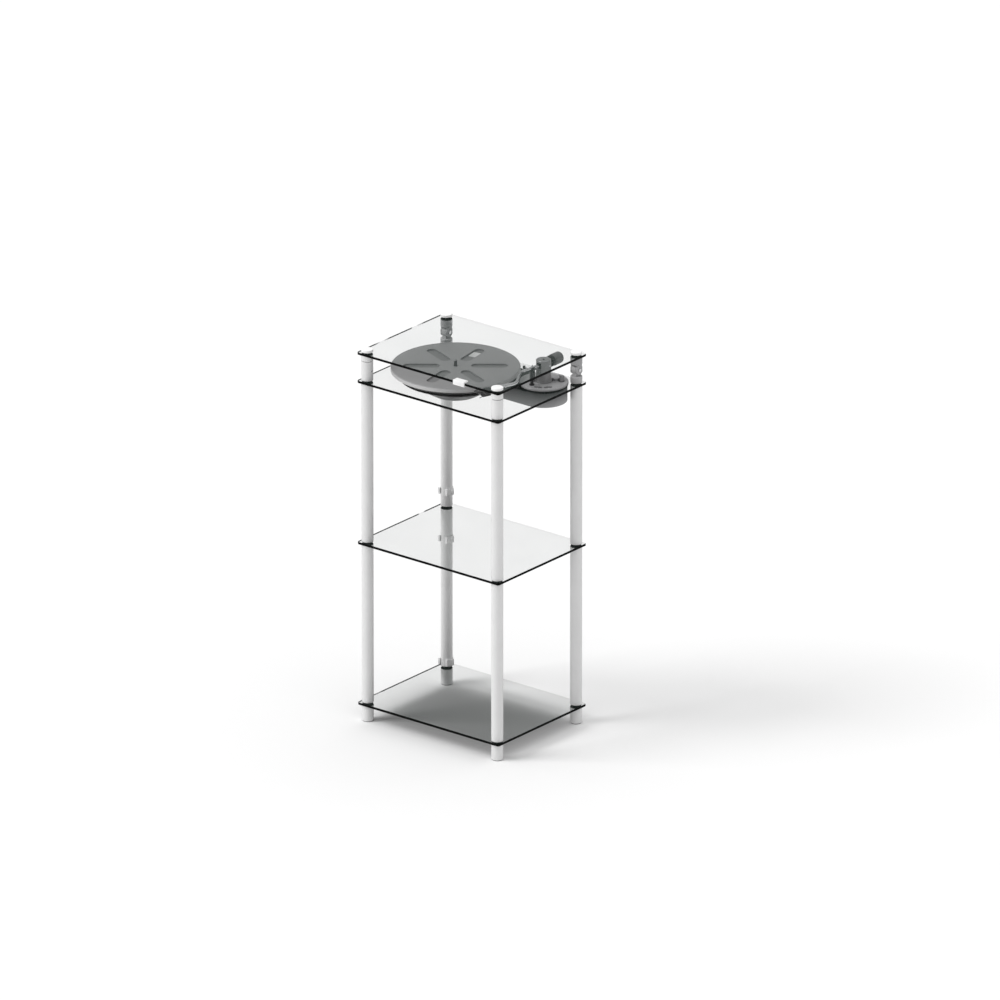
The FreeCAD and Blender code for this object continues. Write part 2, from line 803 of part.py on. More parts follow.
def build_clips():
    clips = []
    outer = "post_diameter + 2 * clip_play + 2 * clip_wall"
    inner = "post_diameter + 2 * clip_play"
    x, y = CORNERS["rear_left"]
    loop_x = "(post_diameter / 2 + clip_play + clip_wall + cable_bore / 2)"
    for level in ("clip_level_upper", "clip_level_middle", "clip_level_lower"):
        host = body("cable_" + level)
        band = sketch(host)
        circle(band, outer)
        pad(host, band, "clip_height")
        loop = sketch(host)
        circle(loop, "cable_bore + 2 * clip_wall", loop_x, "0")
        pad(host, loop, "clip_height")
        lips = sketch(host)
        lip_x = "clip_mouth / 2"
        lip_y = "-post_diameter / 2 - clip_play - clip_wall"
        rectangle(lips, "-(%s) - clip_lip - clip_wall" % lip_x, lip_y, "%s + clip_lip + clip_wall" % lip_x,
                  lip_y + " + 2 * clip_wall")
        pad(host, lips, "clip_height")
        bore = sketch(host, offset="clip_height")
        circle(bore, inner)
        cut(host, bore, "clip_height + overrun")
        mouth = sketch(host, offset="clip_height")
        rectangle(mouth, "-(%s)" % lip_x, "-post_diameter", lip_x, "-clip_mouth_start")
        cut(host, mouth, "clip_height + overrun")
        lead = sketch(host, offset="clip_height")
        circle(lead, "cable_bore", loop_x, "0")
        cut(host, lead, "clip_height + overrun")
        slit = sketch(host, offset="clip_height")
        rectangle(slit, loop_x, "-cable_mouth / 2", loop_x + " + cable_bore + clip_wall", "cable_mouth / 2")
        cut(host, slit, "clip_height + overrun")
        place(host, x, y, level + " - clip_height / 2")
        clips.append(host)
    group("cable_clips", clips)


# Record player drive: conical bowl through the deck, bearing, motor and platter

def bowl_diameter(level):
    """The bowl's outside diameter at a level above the floor."""
    share = "((%s) - %s) / (%s - %s)" % (level, BOWL_LOW, BOWL_TOP, BOWL_LOW)
    return "(bowl_floor_diameter + (bowl_top_diameter - bowl_floor_diameter) * %s)" % share


def build_bowl():
    host = body("chassis_bowl")
    drawing = sketch(host, "XZ")
    height = "(%s - %s)" % (BOWL_TOP, BOWL_LOW)
    slope_run = "((bowl_top_diameter - bowl_floor_diameter) / 2)"
    side_wall = "(bowl_wall * sqrt(1 + (%s / %s) * (%s / %s)))" % (slope_run, height, slope_run, height)
    floor_inner = "(bowl_floor_diameter / 2 + %s * bowl_wall / %s - %s)" % (slope_run, height, side_wall)
    outline(drawing, [
        ("0", "0"), ("bowl_floor_diameter / 2", "0"), ("bowl_top_diameter / 2", height),
        ("bowl_top_diameter / 2 - %s - bowl_lip" % side_wall, height),
        ("bowl_top_diameter / 2 - %s - bowl_lip" % side_wall, height + " - bowl_wall / 2"),
        ("bowl_top_diameter / 2 - %s - %s * bowl_wall / 2 / %s" % (side_wall, slope_run, height),
         height + " - bowl_wall / 2"),
        (floor_inner, "bowl_wall"), ("0", "bowl_wall"),
    ])
    spin(host, drawing)
    ease(host, "Fillet", "bowl_foot_round", round_edge_at("0", "bowl_floor_diameter"))
    place(host, "platter_x", "0", BOWL_LOW)
    node(host, "chassis_bowl")

    gasket = body("bowl_gasket")
    drawing = sketch(gasket, "XZ")
    near = "%s / 2 + gasket_play" % bowl_diameter(DECK_TOP)
    far = "%s / 2 + gasket_play" % bowl_diameter(DECK_TOP + " + gasket_height")
    rim = "%s / 2 + deck_hole_room + gasket_width" % bowl_diameter(DECK_TOP)
    outline(drawing, [(near, "0"), (rim, "0"), (rim, "gasket_height"), (far, "gasket_height")])
    spin(gasket, drawing)
    place(gasket, "platter_x", "0", DECK_TOP)
    ring_outer = "cover_diameter - 2 * gasket_play"
    ring_inner = "pod_diameter + 2 * gasket_play"
    cover_gasket = ring("cover_gasket", ring_outer, ring_inner, "cover_gasket_thick", POD_X, POD_Y, DECK_TOP)
    group("deck_gaskets", [gasket, cover_gasket])


def build_drive():
    floor = "(%s + bowl_wall)" % BOWL_LOW
    bearing = body("bearing_sleeve")
    drawing = sketch(bearing, "XZ")
    bore = "(shaft_diameter / 2 + shaft_play)"
    outline(drawing, [
        ("0", "0"), ("bearing_flange_diameter / 2", "0"),
        ("bearing_flange_diameter / 2", "bearing_flange_thick"),
        ("bearing_diameter / 2", "bearing_flange_thick"), ("bearing_diameter / 2", "bearing_height"),
        (bore, "bearing_height"), (bore, "bearing_end"), ("0", "bearing_end"),
    ])
    spin(bearing, drawing)
    place(bearing, "platter_x", "0", floor)
    node(bearing, "bearing_sleeve")

    stator = ring("motor_stator", "stator_diameter", "stator_bore", "stator_height", "platter_x", "0", floor)
    tooth_gap = sketch(stator, offset="stator_height")
    rectangle(tooth_gap, "stator_bore / 2 + stator_yoke", "-stator_gap / 2", "stator_diameter",
              "stator_gap / 2")
    gap = cut(stator, tooth_gap, "stator_height - stator_yoke")
    around(stator, tooth_gap, gap, "stator_teeth")
    node(stator, "motor_stator")

    rotor = body("drive_rotor")
    drawing = sketch(rotor, "XZ")
    rotor_low = "(%s + stator_height + rotor_lift)" % floor
    hub_low = "(%s + bearing_height + rotor_lift - %s)" % (floor, rotor_low)
    hub_high = "(%s - hub_depth - %s)" % (PLATTER_LOW, rotor_low)
    hub_bore = "(bearing_diameter / 2 + rotor_lift)"
    outline(drawing, [
        ("shaft_diameter / 2", hub_low), (hub_bore, hub_low), (hub_bore, "0"),
        ("rotor_diameter / 2 - rotor_rim", "0"), ("rotor_diameter / 2 - rotor_rim", "-rotor_skirt"),
        ("rotor_diameter / 2", "-rotor_skirt"), ("rotor_diameter / 2", "rotor_thick"),
        (hub_bore + " + rotor_thick", "rotor_thick"), (hub_bore + " + rotor_thick", hub_high),
        ("shaft_diameter / 2", hub_high),
    ])
    spin(rotor, drawing)
    place(rotor, "platter_x", "0", rotor_low)
    node(rotor, "drive_rotor")

    spindle = body("spindle")
    drawing = sketch(spindle, "XZ")
    shaft_low = "(%s + bearing_end)" % floor
    collar = "(%s - hub_depth - %s)" % (PLATTER_LOW, shaft_low)
    top = "(%s + spindle_rise - %s)" % (PLATTER_TOP, shaft_low)
    seat = "(%s + spindle_seat_rise - %s)" % (PLATTER_TOP, shaft_low)
    outline(drawing, [
        ("0", "shaft_play"), ("shaft_diameter / 2", "shaft_play"), ("shaft_diameter / 2", collar),
        ("spindle_seat_diameter / 2", collar), ("spindle_seat_diameter / 2", seat),
        ("spindle_diameter / 2", seat), ("spindle_diameter / 2", top + " - spindle_tip"),
        ("spindle_tip_diameter / 2", top), ("0", top),
    ])
    spin(spindle, drawing)
    place(spindle, "platter_x", "0", shaft_low)
    node(spindle, "spindle")


def build_platter():
    host = body("platter")
    drawing = sketch(host, "XZ")
    outline(drawing, [
        ("spindle_seat_diameter / 2", "-hub_depth"), ("hub_diameter / 2", "-hub_depth"),
        ("hub_diameter / 2", "platter_well_depth"), ("platter_well_diameter / 2", "platter_well_depth"),
        ("platter_well_diameter / 2", "0"), ("platter_diameter / 2", "0"),
        ("platter_diameter / 2", "platter_thick"), ("spindle_seat_diameter / 2", "platter_thick"),
    ])
    spin(host, drawing)
    ease(host, "Fillet", "platter_round", round_edge_at("platter_thick", "platter_diameter"))
    slot = sketch(host, offset="platter_thick")
    rounded_bar(slot, "slot_inner", "slot_outer", "slot_width")
    recess = cut(host, slot, "slot_depth")
    around(host, slot, recess, "slot_count")
    place(host, "platter_x", "0", PLATTER_LOW)
    turn(host, "slot_turn")
    node(host, "platter")


def polar(radius, angle):
    """A place on the cover, by radius and angle about the pod's middle."""
    return "(%s + (%s) * cos(%s))" % (POD_X, radius, angle), "(%s + (%s) * sin(%s))" % (POD_Y, radius, angle)


def from_pod(place_text):
    """The same place, in the cover's own frame."""
    x, y = place_text
    return "(%s - %s)" % (x, POD_X), "(%s - %s)" % (y, POD_Y)


def screw_angle(index):
    return "(screw_turn + %d * 360 / screw_count)" % index


# Tonearm housing: a tongue under the deck from the bowl to a round pod that comes up through the glass

def build_housing():
    host = body("arm_housing")
    low = BOWL_LOW
    pod = ("%s - platter_x" % POD_X, POD_Y)
    half = "pod_diameter / 2"
    tongue_height = "(bowl_drop - housing_gap)"
    pod_height = "(bowl_drop + glass_thick - housing_gap)"
    end = "tongue_end_x - platter_x"

    tongue = sketch(host)
    rectangle(tongue, end, "%s - %s" % (pod[1], half), pod[0], "%s + %s" % (pod[1], half))
    pad(host, tongue, tongue_height)
    end_x, rear_y = value(end), value("%s + %s" % (pod[1], half))

    def far_corner(edge):
        middle = edge.CenterOfMass
        return abs(middle.x - end_x) < NEAR and abs(middle.y - rear_y) < NEAR and edge.BoundBox.ZLength > NEAR

    ease(host, "Fillet", "tongue_end_round", far_corner)
    cup = sketch(host)
    circle(cup, "pod_diameter", *pod)
    pad(host, cup, pod_height)

    channel = sketch(host, offset=tongue_height + " - housing_wall")
    rectangle(channel, end + " + tongue_end_round", "%s - %s / 2" % (pod[1], half),
              pod[0], "%s + %s / 2" % (pod[1], half))
    cut(host, channel, tongue_height + " - 2 * housing_wall")
    well = sketch(host, offset=pod_height)
    circle(well, "pod_diameter - 2 * housing_wall", *pod)
    cut(host, well, pod_height + " - housing_wall")
    bosses, holes, sinks = sketch(host), sketch(host), sketch(host)
    for index in range(round(value("screw_count"))):
        x, y = polar("cover_fixing_radius", screw_angle(index))
        spot = ("%s - platter_x" % x, y)
        circle(bosses, "screw_head_diameter + 2 * housing_wall", *spot)
        circle(holes, "screw_diameter + 2 * button_play", *spot)
        circle(sinks, "screw_head_diameter + 2 * button_play", *spot)
    pad(host, bosses, "screw_sink + housing_wall")
    cut(host, holes, "screw_sink + housing_wall + overrun", upwards=True)
    cut(host, sinks, "screw_sink", upwards=True)

    flank = sketch(host, "XZ")
    clear = "bowl_clearance"
    base = "(bowl_floor_diameter / 2 + %s)" % clear
    crest = "(bowl_top_diameter / 2 + %s)" % clear
    tall = "(%s - %s)" % (BOWL_TOP, BOWL_LOW)
    slope = "((bowl_top_diameter - bowl_floor_diameter) / 2 / %s)" % tall
    outline(flank, [
        ("0", "-overrun"), ("%s - overrun * %s" % (base, slope), "-overrun"), (crest, tall), ("0", tall),
    ])
    spin(host, flank, groove=True)
    place(host, "platter_x", "0", low)
    node(host, "arm_housing")


def face_along(drawing, angle):
    """Turns a sketch about the upright axis, so that its own X points along an angle."""
    offset = drawing.AttachmentOffset
    offset.Rotation = FreeCAD.Rotation(FreeCAD.Vector(0, 0, 1), value(angle))
    drawing.AttachmentOffset = offset
    drawing.setExpression("AttachmentOffset.Rotation.Angle", bound(angle))


def button_outline(drawing, room):
    """A slim button across the line from the pod's middle, with some room around it."""
    rectangle(drawing, "speed_radius - speed_width / 2 - (%s)" % room, "-speed_length / 2 - (%s)" % room,
              "speed_radius + speed_width / 2 + (%s)" % room, "speed_length / 2 + (%s)" % room)


def build_cover():
    host = body("arm_cover")
    drawing = sketch(host, offset="cover_gasket_thick")
    circle(drawing, "cover_diameter")
    pad(host, drawing, "cover_height - cover_gasket_thick")
    ease(host, "Chamfer", "cover_chamfer", round_edge_at("cover_height", "cover_diameter"))
    spigot = sketch(host, offset="-cover_spigot + housing_gap")
    circle(spigot, "pod_diameter - 2 * housing_wall - 2 * cover_spigot_play")
    circle(spigot, "pod_diameter - 4 * housing_wall - 2 * cover_spigot_play")
    pad(host, spigot, "cover_spigot + cover_gasket_thick")
    hollow = sketch(host)
    circle(hollow, "pod_diameter - 4 * housing_wall - 2 * cover_spigot_play")
    cut(host, hollow, "cover_height - housing_wall", upwards=True)
    bosses = sketch(host)
    circle(bosses, "pillar_diameter")
    pad(host, bosses, "cover_height - housing_wall")
    feet = sketch(host)
    threads = sketch(host)
    for index in range(round(value("screw_count"))):
        spot = from_pod(polar("cover_fixing_radius", screw_angle(index)))
        circle(feet, "screw_head_diameter + 2 * housing_wall", *spot)
        circle(threads, "screw_diameter", *spot)
    pad(host, feet, "cover_height - housing_wall")
    cut(host, threads, "cover_height - housing_wall", upwards=True)

    through = sketch(host, offset="cover_height")
    circle(through, "arm_bush_diameter")
    circle(through, "knob_shaft_diameter + 2 * pin_play", "knob_x", "knob_y")
    circle(through, "power_diameter + 2 * button_play", "power_x", "power_y")
    circle(through, "lift_column_diameter", *from_pod(polar("lift_reach", "lift_turn")))
    cut(host, through, "cover_height + overrun")
    for angle in ("speed_near_turn", "speed_far_turn"):
        window = sketch(host, offset="cover_height")
        face_along(window, angle)
        button_outline(window, "button_play")
        cut(host, window, "cover_height + overrun")
    place(host, POD_X, POD_Y, COVER_LOW)
    node(host, "arm_cover")

    screws = []
    head_low = "(%s + screw_sink)" % BOWL_LOW
    shank = "(%s + cover_height - housing_wall - %s - button_play)" % (COVER_LOW, head_low)
    for index in range(round(value("screw_count"))):
        x, y = polar("cover_fixing_radius", screw_angle(index))
        screw = ring("cover_screw_%d" % index, "screw_diameter", None, shank, x, y, head_low)
        head = sketch(screw, offset="-screw_head_height")
        circle(head, "screw_head_diameter")
        pad(screw, head, "screw_head_height")
        screws.append(screw)
    group("cover_screws", screws)


def build_board():
    board = body("control_board")
    drawing = sketch(board, offset="board_leg")
    rectangle(drawing, "-board_width / 2", "-board_depth / 2", "board_width / 2", "board_depth / 2")
    pad(board, drawing, "board_thick")
    for side_x in ("-1", "1"):
        for side_y in ("-1", "1"):
            leg = sketch(board)
            circle(leg, "board_leg_diameter", "%s * (board_width / 2 - board_leg_diameter)" % side_x,
                   "%s * (board_depth / 2 - board_leg_diameter)" % side_y)
            pad(board, leg, "board_leg")
    place(board, POD_X, POD_Y, BOWL_LOW + " + housing_wall")
    node(board, "control_board")


# Tonearm: fixed pillar with a bush, turning yoke, and an S shaped arm on a cross pin

def build_pillar():
    pillar = body("arm_pillar")
    drawing = sketch(pillar, "XZ")
    bush = "arm_bush_diameter / 2"
    outline(drawing, [
        (bush, "0"), ("pillar_flange_diameter / 2", "0"),
        ("pillar_flange_diameter / 2", "pillar_flange_thick"),
        ("pillar_diameter / 2", "pillar_flange_thick"), ("pillar_diameter / 2", "pillar_height"),
        (bush, "pillar_height"),
    ])
    spin(pillar, drawing)
    flange_top = round_edge_at("pillar_flange_thick", "pillar_flange_diameter")
    ease(pillar, "Fillet", "yoke_round", flange_top)
    place(pillar, POD_X, POD_Y, COVER_TOP)
    node(pillar, "arm_pillar")

    bush_ring = ring("arm_bush", "arm_bush_diameter", "arm_shaft_diameter + 2 * shaft_play",
                     "cover_height + pillar_height", POD_X, POD_Y, COVER_LOW)
    node(bush_ring, "arm_bush")

    yoke = body("arm_yoke")
    drawing = sketch(yoke)
    circle(drawing, "pillar_diameter")
    height = "(%s + yoke_top_rise - %s - yoke_gap)" % (DECK_TOP, PILLAR_TOP)
    pad(yoke, drawing, height)
    ease(yoke, "Fillet", "yoke_round", round_edge_at(height, "pillar_diameter"))
    shaft = sketch(yoke, offset="-arm_shaft_length - yoke_gap")
    circle(shaft, "arm_shaft_diameter")
    pad(yoke, shaft, "arm_shaft_length + yoke_gap + yoke_round")
    window = sketch(yoke, "XZ", "-pillar_diameter")
    axis = "(%s - %s - yoke_gap)" % (ARM_LEVEL, PILLAR_TOP)
    rectangle(window, "-arm_window_width / 2", axis + " - arm_window_height / 2", "arm_window_width / 2",
              axis + " + arm_window_height / 2")
    cut(yoke, window, "2 * pillar_diameter", upwards=True)
    pin_bore = sketch(yoke, "YZ", "-pillar_diameter")
    circle(pin_bore, "gimbal_pin_diameter", "0", axis)
    cut(yoke, pin_bore, "2 * pillar_diameter", upwards=True)
    place(yoke, POD_X, POD_Y, PILLAR_TOP + " + yoke_gap")
    turn(yoke, YOKE_TURN)
    node(yoke, "arm_yoke")

    pin = body("gimbal_pin")
    drawing = sketch(pin, "YZ", "-pillar_diameter / 2 + yoke_round")
    circle(drawing, "gimbal_pin_diameter")
    pad(pin, drawing, "pillar_diameter - 2 * yoke_round")
    place(pin, POD_X, POD_Y, ARM_LEVEL)
    turn(pin, YOKE_TURN)
    node(pin, "gimbal_pin")

    block = body("gimbal_block")
    drawing = sketch(block, "YZ", "-arm_window_width / 2 + gimbal_block_play")
    rectangle(drawing, "-gimbal_block_length / 2", "-gimbal_block_height / 2", "gimbal_block_length / 2",
              "gimbal_block_height / 2")
    circle(drawing, "gimbal_pin_diameter + 2 * pin_play")
    pad(block, drawing, "arm_window_width - 2 * gimbal_block_play")
    place(block, POD_X, POD_Y, ARM_LEVEL)
    turn(block, YOKE_TURN)
    node(block, "gimbal_block")


def arm_points():
    """The arm's straight stretches meet at these places, measured from its pivot."""
    start = value("gimbal_block_length / 2 + arm_seat_gap")
    heading = math.radians(value("rest_turn"))
    near = FreeCAD.Vector(math.cos(heading), math.sin(heading), 0).multiply(value("bend_near_reach"))
    far = FreeCAD.Vector(value("bend_far_x"), value("bend_far_y"), 0)
    end = FreeCAD.Vector(value("arm_end_x"), value("arm_end_y"), 0)
    first = FreeCAD.Vector(near).normalize().multiply(start)
    return first, near, far, end


def filleted_path(points, radii):
    """Straight runs joined by tangent arcs."""
    edges, at = [], points[0]
    for index, radius in enumerate(radii, start=1):
        corner = points[index]
        back = (points[index - 1] - corner).normalize()
        ahead = (points[index + 1] - corner).normalize()
        half = back.getAngle(ahead) / 2
        reach = radius / math.tan(half)
        bisector = (back + ahead).normalize()
        middle = corner + bisector * (radius / math.sin(half) - radius)
        enter, leave = corner + back * reach, corner + ahead * reach
        edges.append(Part.LineSegment(at, enter).toShape())
        edges.append(Part.Arc(enter, middle, leave).toShape())
        at = leave
    edges.append(Part.LineSegment(at, points[-1]).toShape())
    return Part.Wire(edges)


def swept(path, start, direction, diameter):
    """A round bar along a path."""
    rim = Part.Wire([Part.Circle(start, direction, diameter / 2).toShape()])
    return path.makePipeShell([rim], True, False)


def loose(label, shape):
    """A piece whose form neither features nor primitives fit, placed at the arm's pivot."""
    item = doc.addObject("Part::Feature", label)
    item.Shape = shape
    place(item, POD_X, POD_Y, ARM_LEVEL)
    return node(item, label)


def build_arm():
    points = arm_points()
    radii = [value("bend_near_radius"), value("bend_far_radius")]
    path = filleted_path(points, radii)
    heading = (points[1] - points[0]).normalize()
    outer = swept(path, points[0], heading, value("arm_tube_diameter"))
    inner = swept(path, points[0], heading, value("arm_tube_bore"))
    loose("arm_tube", outer.cut(inner))


def shell_frame(item, forward="0", drop="0"):
    """Lays a piece along the headshell's line, from the arm tube's end, with its own -Y forward."""
    run_x = "(arm_end_x - bend_far_x)"
    run_y = "(arm_end_y - bend_far_y)"
    long = "sqrt(%s * %s + %s * %s)" % (run_x, run_x, run_y, run_y)
    x = "(%s + arm_end_x + (%s) * %s / %s)" % (POD_X, forward, run_x, long)
    y = "(%s + arm_end_y + (%s) * %s / %s)" % (POD_Y, forward, run_y, long)
    place(item, x, y, "%s - (%s)" % (ARM_LEVEL, drop))
    turn(item, "atan(%s / (0 - (%s)))" % (run_x, run_y))


def build_headshell():
    nut = body("headshell_nut")
    drawing = sketch(nut, "XZ")
    circle(drawing, "nut_diameter")
    circle(drawing, "arm_tube_diameter + 2 * nut_play")
    pad(nut, drawing, "nut_length")
    shell_frame(nut, "-nut_length")
    node(nut, "headshell_nut")

    shell = body("headshell")
    drawing = sketch(shell, offset="-shell_thick / 2")
    tail = "-shell_length"
    shoulder = "-shell_tail_length"
    nose = "-shell_length + cartridge_nose"
    outline(drawing, [
        ("-shell_tail_width / 2", "-rest_gap"), ("-shell_width / 2", shoulder), ("-shell_width / 2", nose),
        ("-shell_tip_width / 2", tail), ("shell_tip_width / 2", tail), ("shell_width / 2", nose),
        ("shell_width / 2", shoulder), ("shell_tail_width / 2", "-rest_gap"),
    ])
    pad(shell, drawing, "shell_thick")
    plug = sketch(shell, "XZ", "-shell_plug_length")
    circle(plug, "shell_plug_diameter")
    pad(shell, plug, "shell_plug_length + shell_thick")
    tab = sketch(shell, offset="shell_thick / 2 - lift_tab_thick")
    rectangle(tab, "0", "-lift_tab_start", "shell_width / 2 + lift_tab_length",
              "-lift_tab_start + lift_tab_width")
    pad(shell, tab, "lift_tab_thick")
    holes = sketch(shell, offset="shell_thick / 2")
    middle = "-(cartridge_set_back + cartridge_length / 2)"
    for side in ("-1", "1"):
        circle(holes, "shell_hole_diameter", side + " * shell_hole_pitch / 2", middle)
    cut(shell, holes, "shell_thick + overrun")
    shell_frame(shell)
    node(shell, "headshell")

    cartridge = body("cartridge")
    drawing = sketch(cartridge, "YZ", "-cartridge_width / 2")
    back = "-cartridge_set_back"
    front = "-cartridge_set_back - cartridge_length"
    outline(drawing, [
        (back, "0"), (back, "-cartridge_height"), (front + " + cartridge_nose", "-cartridge_height"),
        (front, "-cartridge_nose_height"), (front, "0"),
    ])
    pad(cartridge, drawing, "cartridge_width")
    shell_frame(cartridge, "0", "shell_thick / 2")
    node(cartridge, "cartridge")

    stylus = body("stylus")
    drawing = sketch(stylus, "YZ", "-stylus_body_width / 2")
    tip_y = front + " + stylus_body_height"
    rear_y = "(%s + stylus_body_length)" % tip_y
    outline(drawing, [
        (rear_y, "0"), (rear_y, "-stylus_body_height"), (tip_y + " + cartridge_nose", "-stylus_body_height"),
        (tip_y + " + cartridge_nose", "0"),
    ])
    pad(stylus, drawing, "stylus_body_width")
    lever = sketch(stylus, "YZ", "-stylus_tip_diameter / 2")
    outline(lever, [
        (tip_y + " + cartridge_nose + rest_gap", "-stylus_body_height / 2"),
        (tip_y + " + cartridge_nose + rest_gap", "-stylus_body_height"),
        (tip_y, "-stylus_drop"), (tip_y + " - stylus_tip_diameter", "-stylus_drop + stylus_tip_diameter"),
    ])
    pad(stylus, lever, "stylus_tip_diameter")
    shell_frame(stylus, "0", "shell_thick / 2 + cartridge_height")
    node(stylus, "stylus")


# Counterweight: a threaded stub behind the pivot with a tracking dial and the weight on it

def rear_ring(name, start, length, outer, inner=None):
    """A round piece on the stub behind the pivot, between two distances along +Y."""
    host = body(name)
    drawing = sketch(host, "XZ", "-(%s) - (%s)" % (start, length))
    circle(drawing, outer)
    if inner is not None:
        circle(drawing, inner)
    pad(host, drawing, length)
    place(host, POD_X, POD_Y, ARM_LEVEL)
    return host


def build_counterweight():
    stub_start = "(gimbal_block_length / 2 + arm_seat_gap)"
    stub_end = "(dial_start + dial_length + weight_gap + weight_length / 2)"
    stub = rear_ring("counterweight_stub", stub_start, stub_end + " - " + stub_start, "stub_diameter")
    node(stub, "counterweight_stub")

    bore = "stub_diameter + 2 * thread_play"
    dial = rear_ring("tracking_dial", "dial_start", "dial_length", "dial_diameter", bore)
    notch = sketch(dial, "XZ", "-dial_start - dial_length")
    rectangle(notch, "dial_diameter / 2 - dial_groove_depth", "-dial_groove_width / 2", "dial_diameter",
              "dial_groove_width / 2")
    groove = cut(dial, notch, "dial_length", upwards=True)
    around(dial, notch, groove, "dial_groove_count")
    node(dial, "tracking_dial")

    weight = body("counterweight")
    drawing = sketch(weight)
    start = "(dial_start + dial_length + weight_gap)"
    end = "(%s + weight_length)" % start
    bore_radius = "(%s) / 2" % bore
    outer = "weight_diameter / 2"
    waist = "%s - weight_waist" % outer
    outline(drawing, [
        (bore_radius, start), (waist, start), (waist, start + " + weight_waist_length"),
        (outer, start + " + weight_waist_length"), (outer, end),
        ("0", end), ("0", end + " - weight_length / 2 + rest_gap"),
        (bore_radius, end + " - weight_length / 2 + rest_gap"),
    ])
    spin(weight, drawing)
    rear = value("dial_start") + value("dial_length") + value("weight_gap") + value("weight_length")

    def rear_rim(edge):
        return abs(edge.CenterOfMass.y - rear) < NEAR and edge.BoundBox.XLength > value("weight_round")

    ease(weight, "Fillet", "weight_round", rear_rim)
    place(weight, POD_X, POD_Y, ARM_LEVEL)
    node(weight, "counterweight")


# Arm rest, cueing lift, and the knob and buttons on the cover

def build_rest():
    x, y = polar("rest_reach", "rest_turn")
    host = body("arm_rest")
    post = sketch(host)
    circle(post, "rest_post_diameter")
    tube_low = "(arm_rise - cover_height - arm_tube_diameter / 2 - rest_gap)"
    pad(host, post, tube_low)
    foot = sketch(host)
    circle(foot, "rest_post_diameter + 2 * rest_wall")
    pad(host, foot, "rest_wall")
    cradle = sketch(host, "YZ", "-rest_cradle_length / 2")
    side = "(arm_tube_diameter / 2 + rest_arm_gap)"
    outline(cradle, [
        ("-rest_cradle_width / 2", tube_low + " - rest_wall"),
        ("%s + rest_wall" % side, tube_low + " - rest_wall"),
        ("%s + rest_wall" % side, tube_low + " + arm_tube_diameter"),
        (side, tube_low + " + arm_tube_diameter"),
        (side, tube_low), ("-rest_cradle_width / 2", tube_low),
    ])
    pad(host, cradle, "rest_cradle_length")
    place(host, x, y, COVER_TOP)
    turn(host, "rest_turn")
    node(host, "arm_rest")


def build_lift():
    x, y = polar("lift_reach", "lift_turn")
    tall = "cover_height + lift_column_height"
    column = ring("lift_column", "lift_column_diameter", None, tall, x, y, COVER_LOW)
    flange = sketch(column, offset="cover_height")
    circle(flange, "lift_column_flange")
    ring_low = "(lift_column_height - cue_ring_drop - cue_ring_thick)"
    pad(column, flange, ring_low + " - rest_gap")
    bore = sketch(column, offset="cover_height + lift_column_height")
    circle(bore, "lift_stem_diameter + 2 * pin_play")
    cut(column, bore, "lift_stem_length + overrun")
    node(column, "lift_column")

    inner = "lift_column_diameter + 2 * pin_play"
    lever_low = "%s + %s" % (COVER_TOP, ring_low)
    lever = ring("cue_lever", "cue_ring_diameter", inner, "cue_ring_thick", x, y, lever_low)
    handle = sketch(lever)
    rounded_bar(handle, "lift_column_diameter / 2 + pin_play", "cue_lever_length", "cue_lever_width")
    pad(lever, handle, "cue_ring_thick")
    tip = sketch(lever, offset="cue_ring_thick")
    circle(tip, "cue_knob_diameter", "cue_lever_length - cue_knob_diameter / 2", "0")
    pad(lever, tip, "cue_knob_height")
    turn(lever, "cue_lever_turn")
    node(lever, "cue_lever")

    rod = doc.addObject("Part::Torus", "lift_rod")
    rod.setExpression("Radius1", bound("lift_reach"))
    rod.setExpression("Radius2", bound("lift_rod_diameter / 2"))
    rod.setExpression("Angle3", bound("lift_arc_end - lift_arc_start"))
    turn(rod, "lift_arc_start")
    stem = doc.addObject("Part::Cylinder", "lift_stem")
    stem.setExpression("Radius", bound("lift_stem_diameter / 2"))
    stem.setExpression("Height", bound("lift_stem_length"))
    stem.setExpression("Placement.Base.x", bound("lift_reach * cos(lift_turn)"))
    stem.setExpression("Placement.Base.y", bound("lift_reach * sin(lift_turn)"))
    stem.setExpression("Placement.Base.z", bound("-lift_stem_length"))
    bar = doc.addObject("Part::Fuse", "lift_bar")
    bar.Base = rod
    bar.Tool = stem
    below = "(arm_tube_diameter / 2 + lift_gap + lift_rod_diameter / 2)"
    place(bar, POD_X, POD_Y, "%s - %s" % (ARM_LEVEL, below))
    node(bar, "lift_bar")


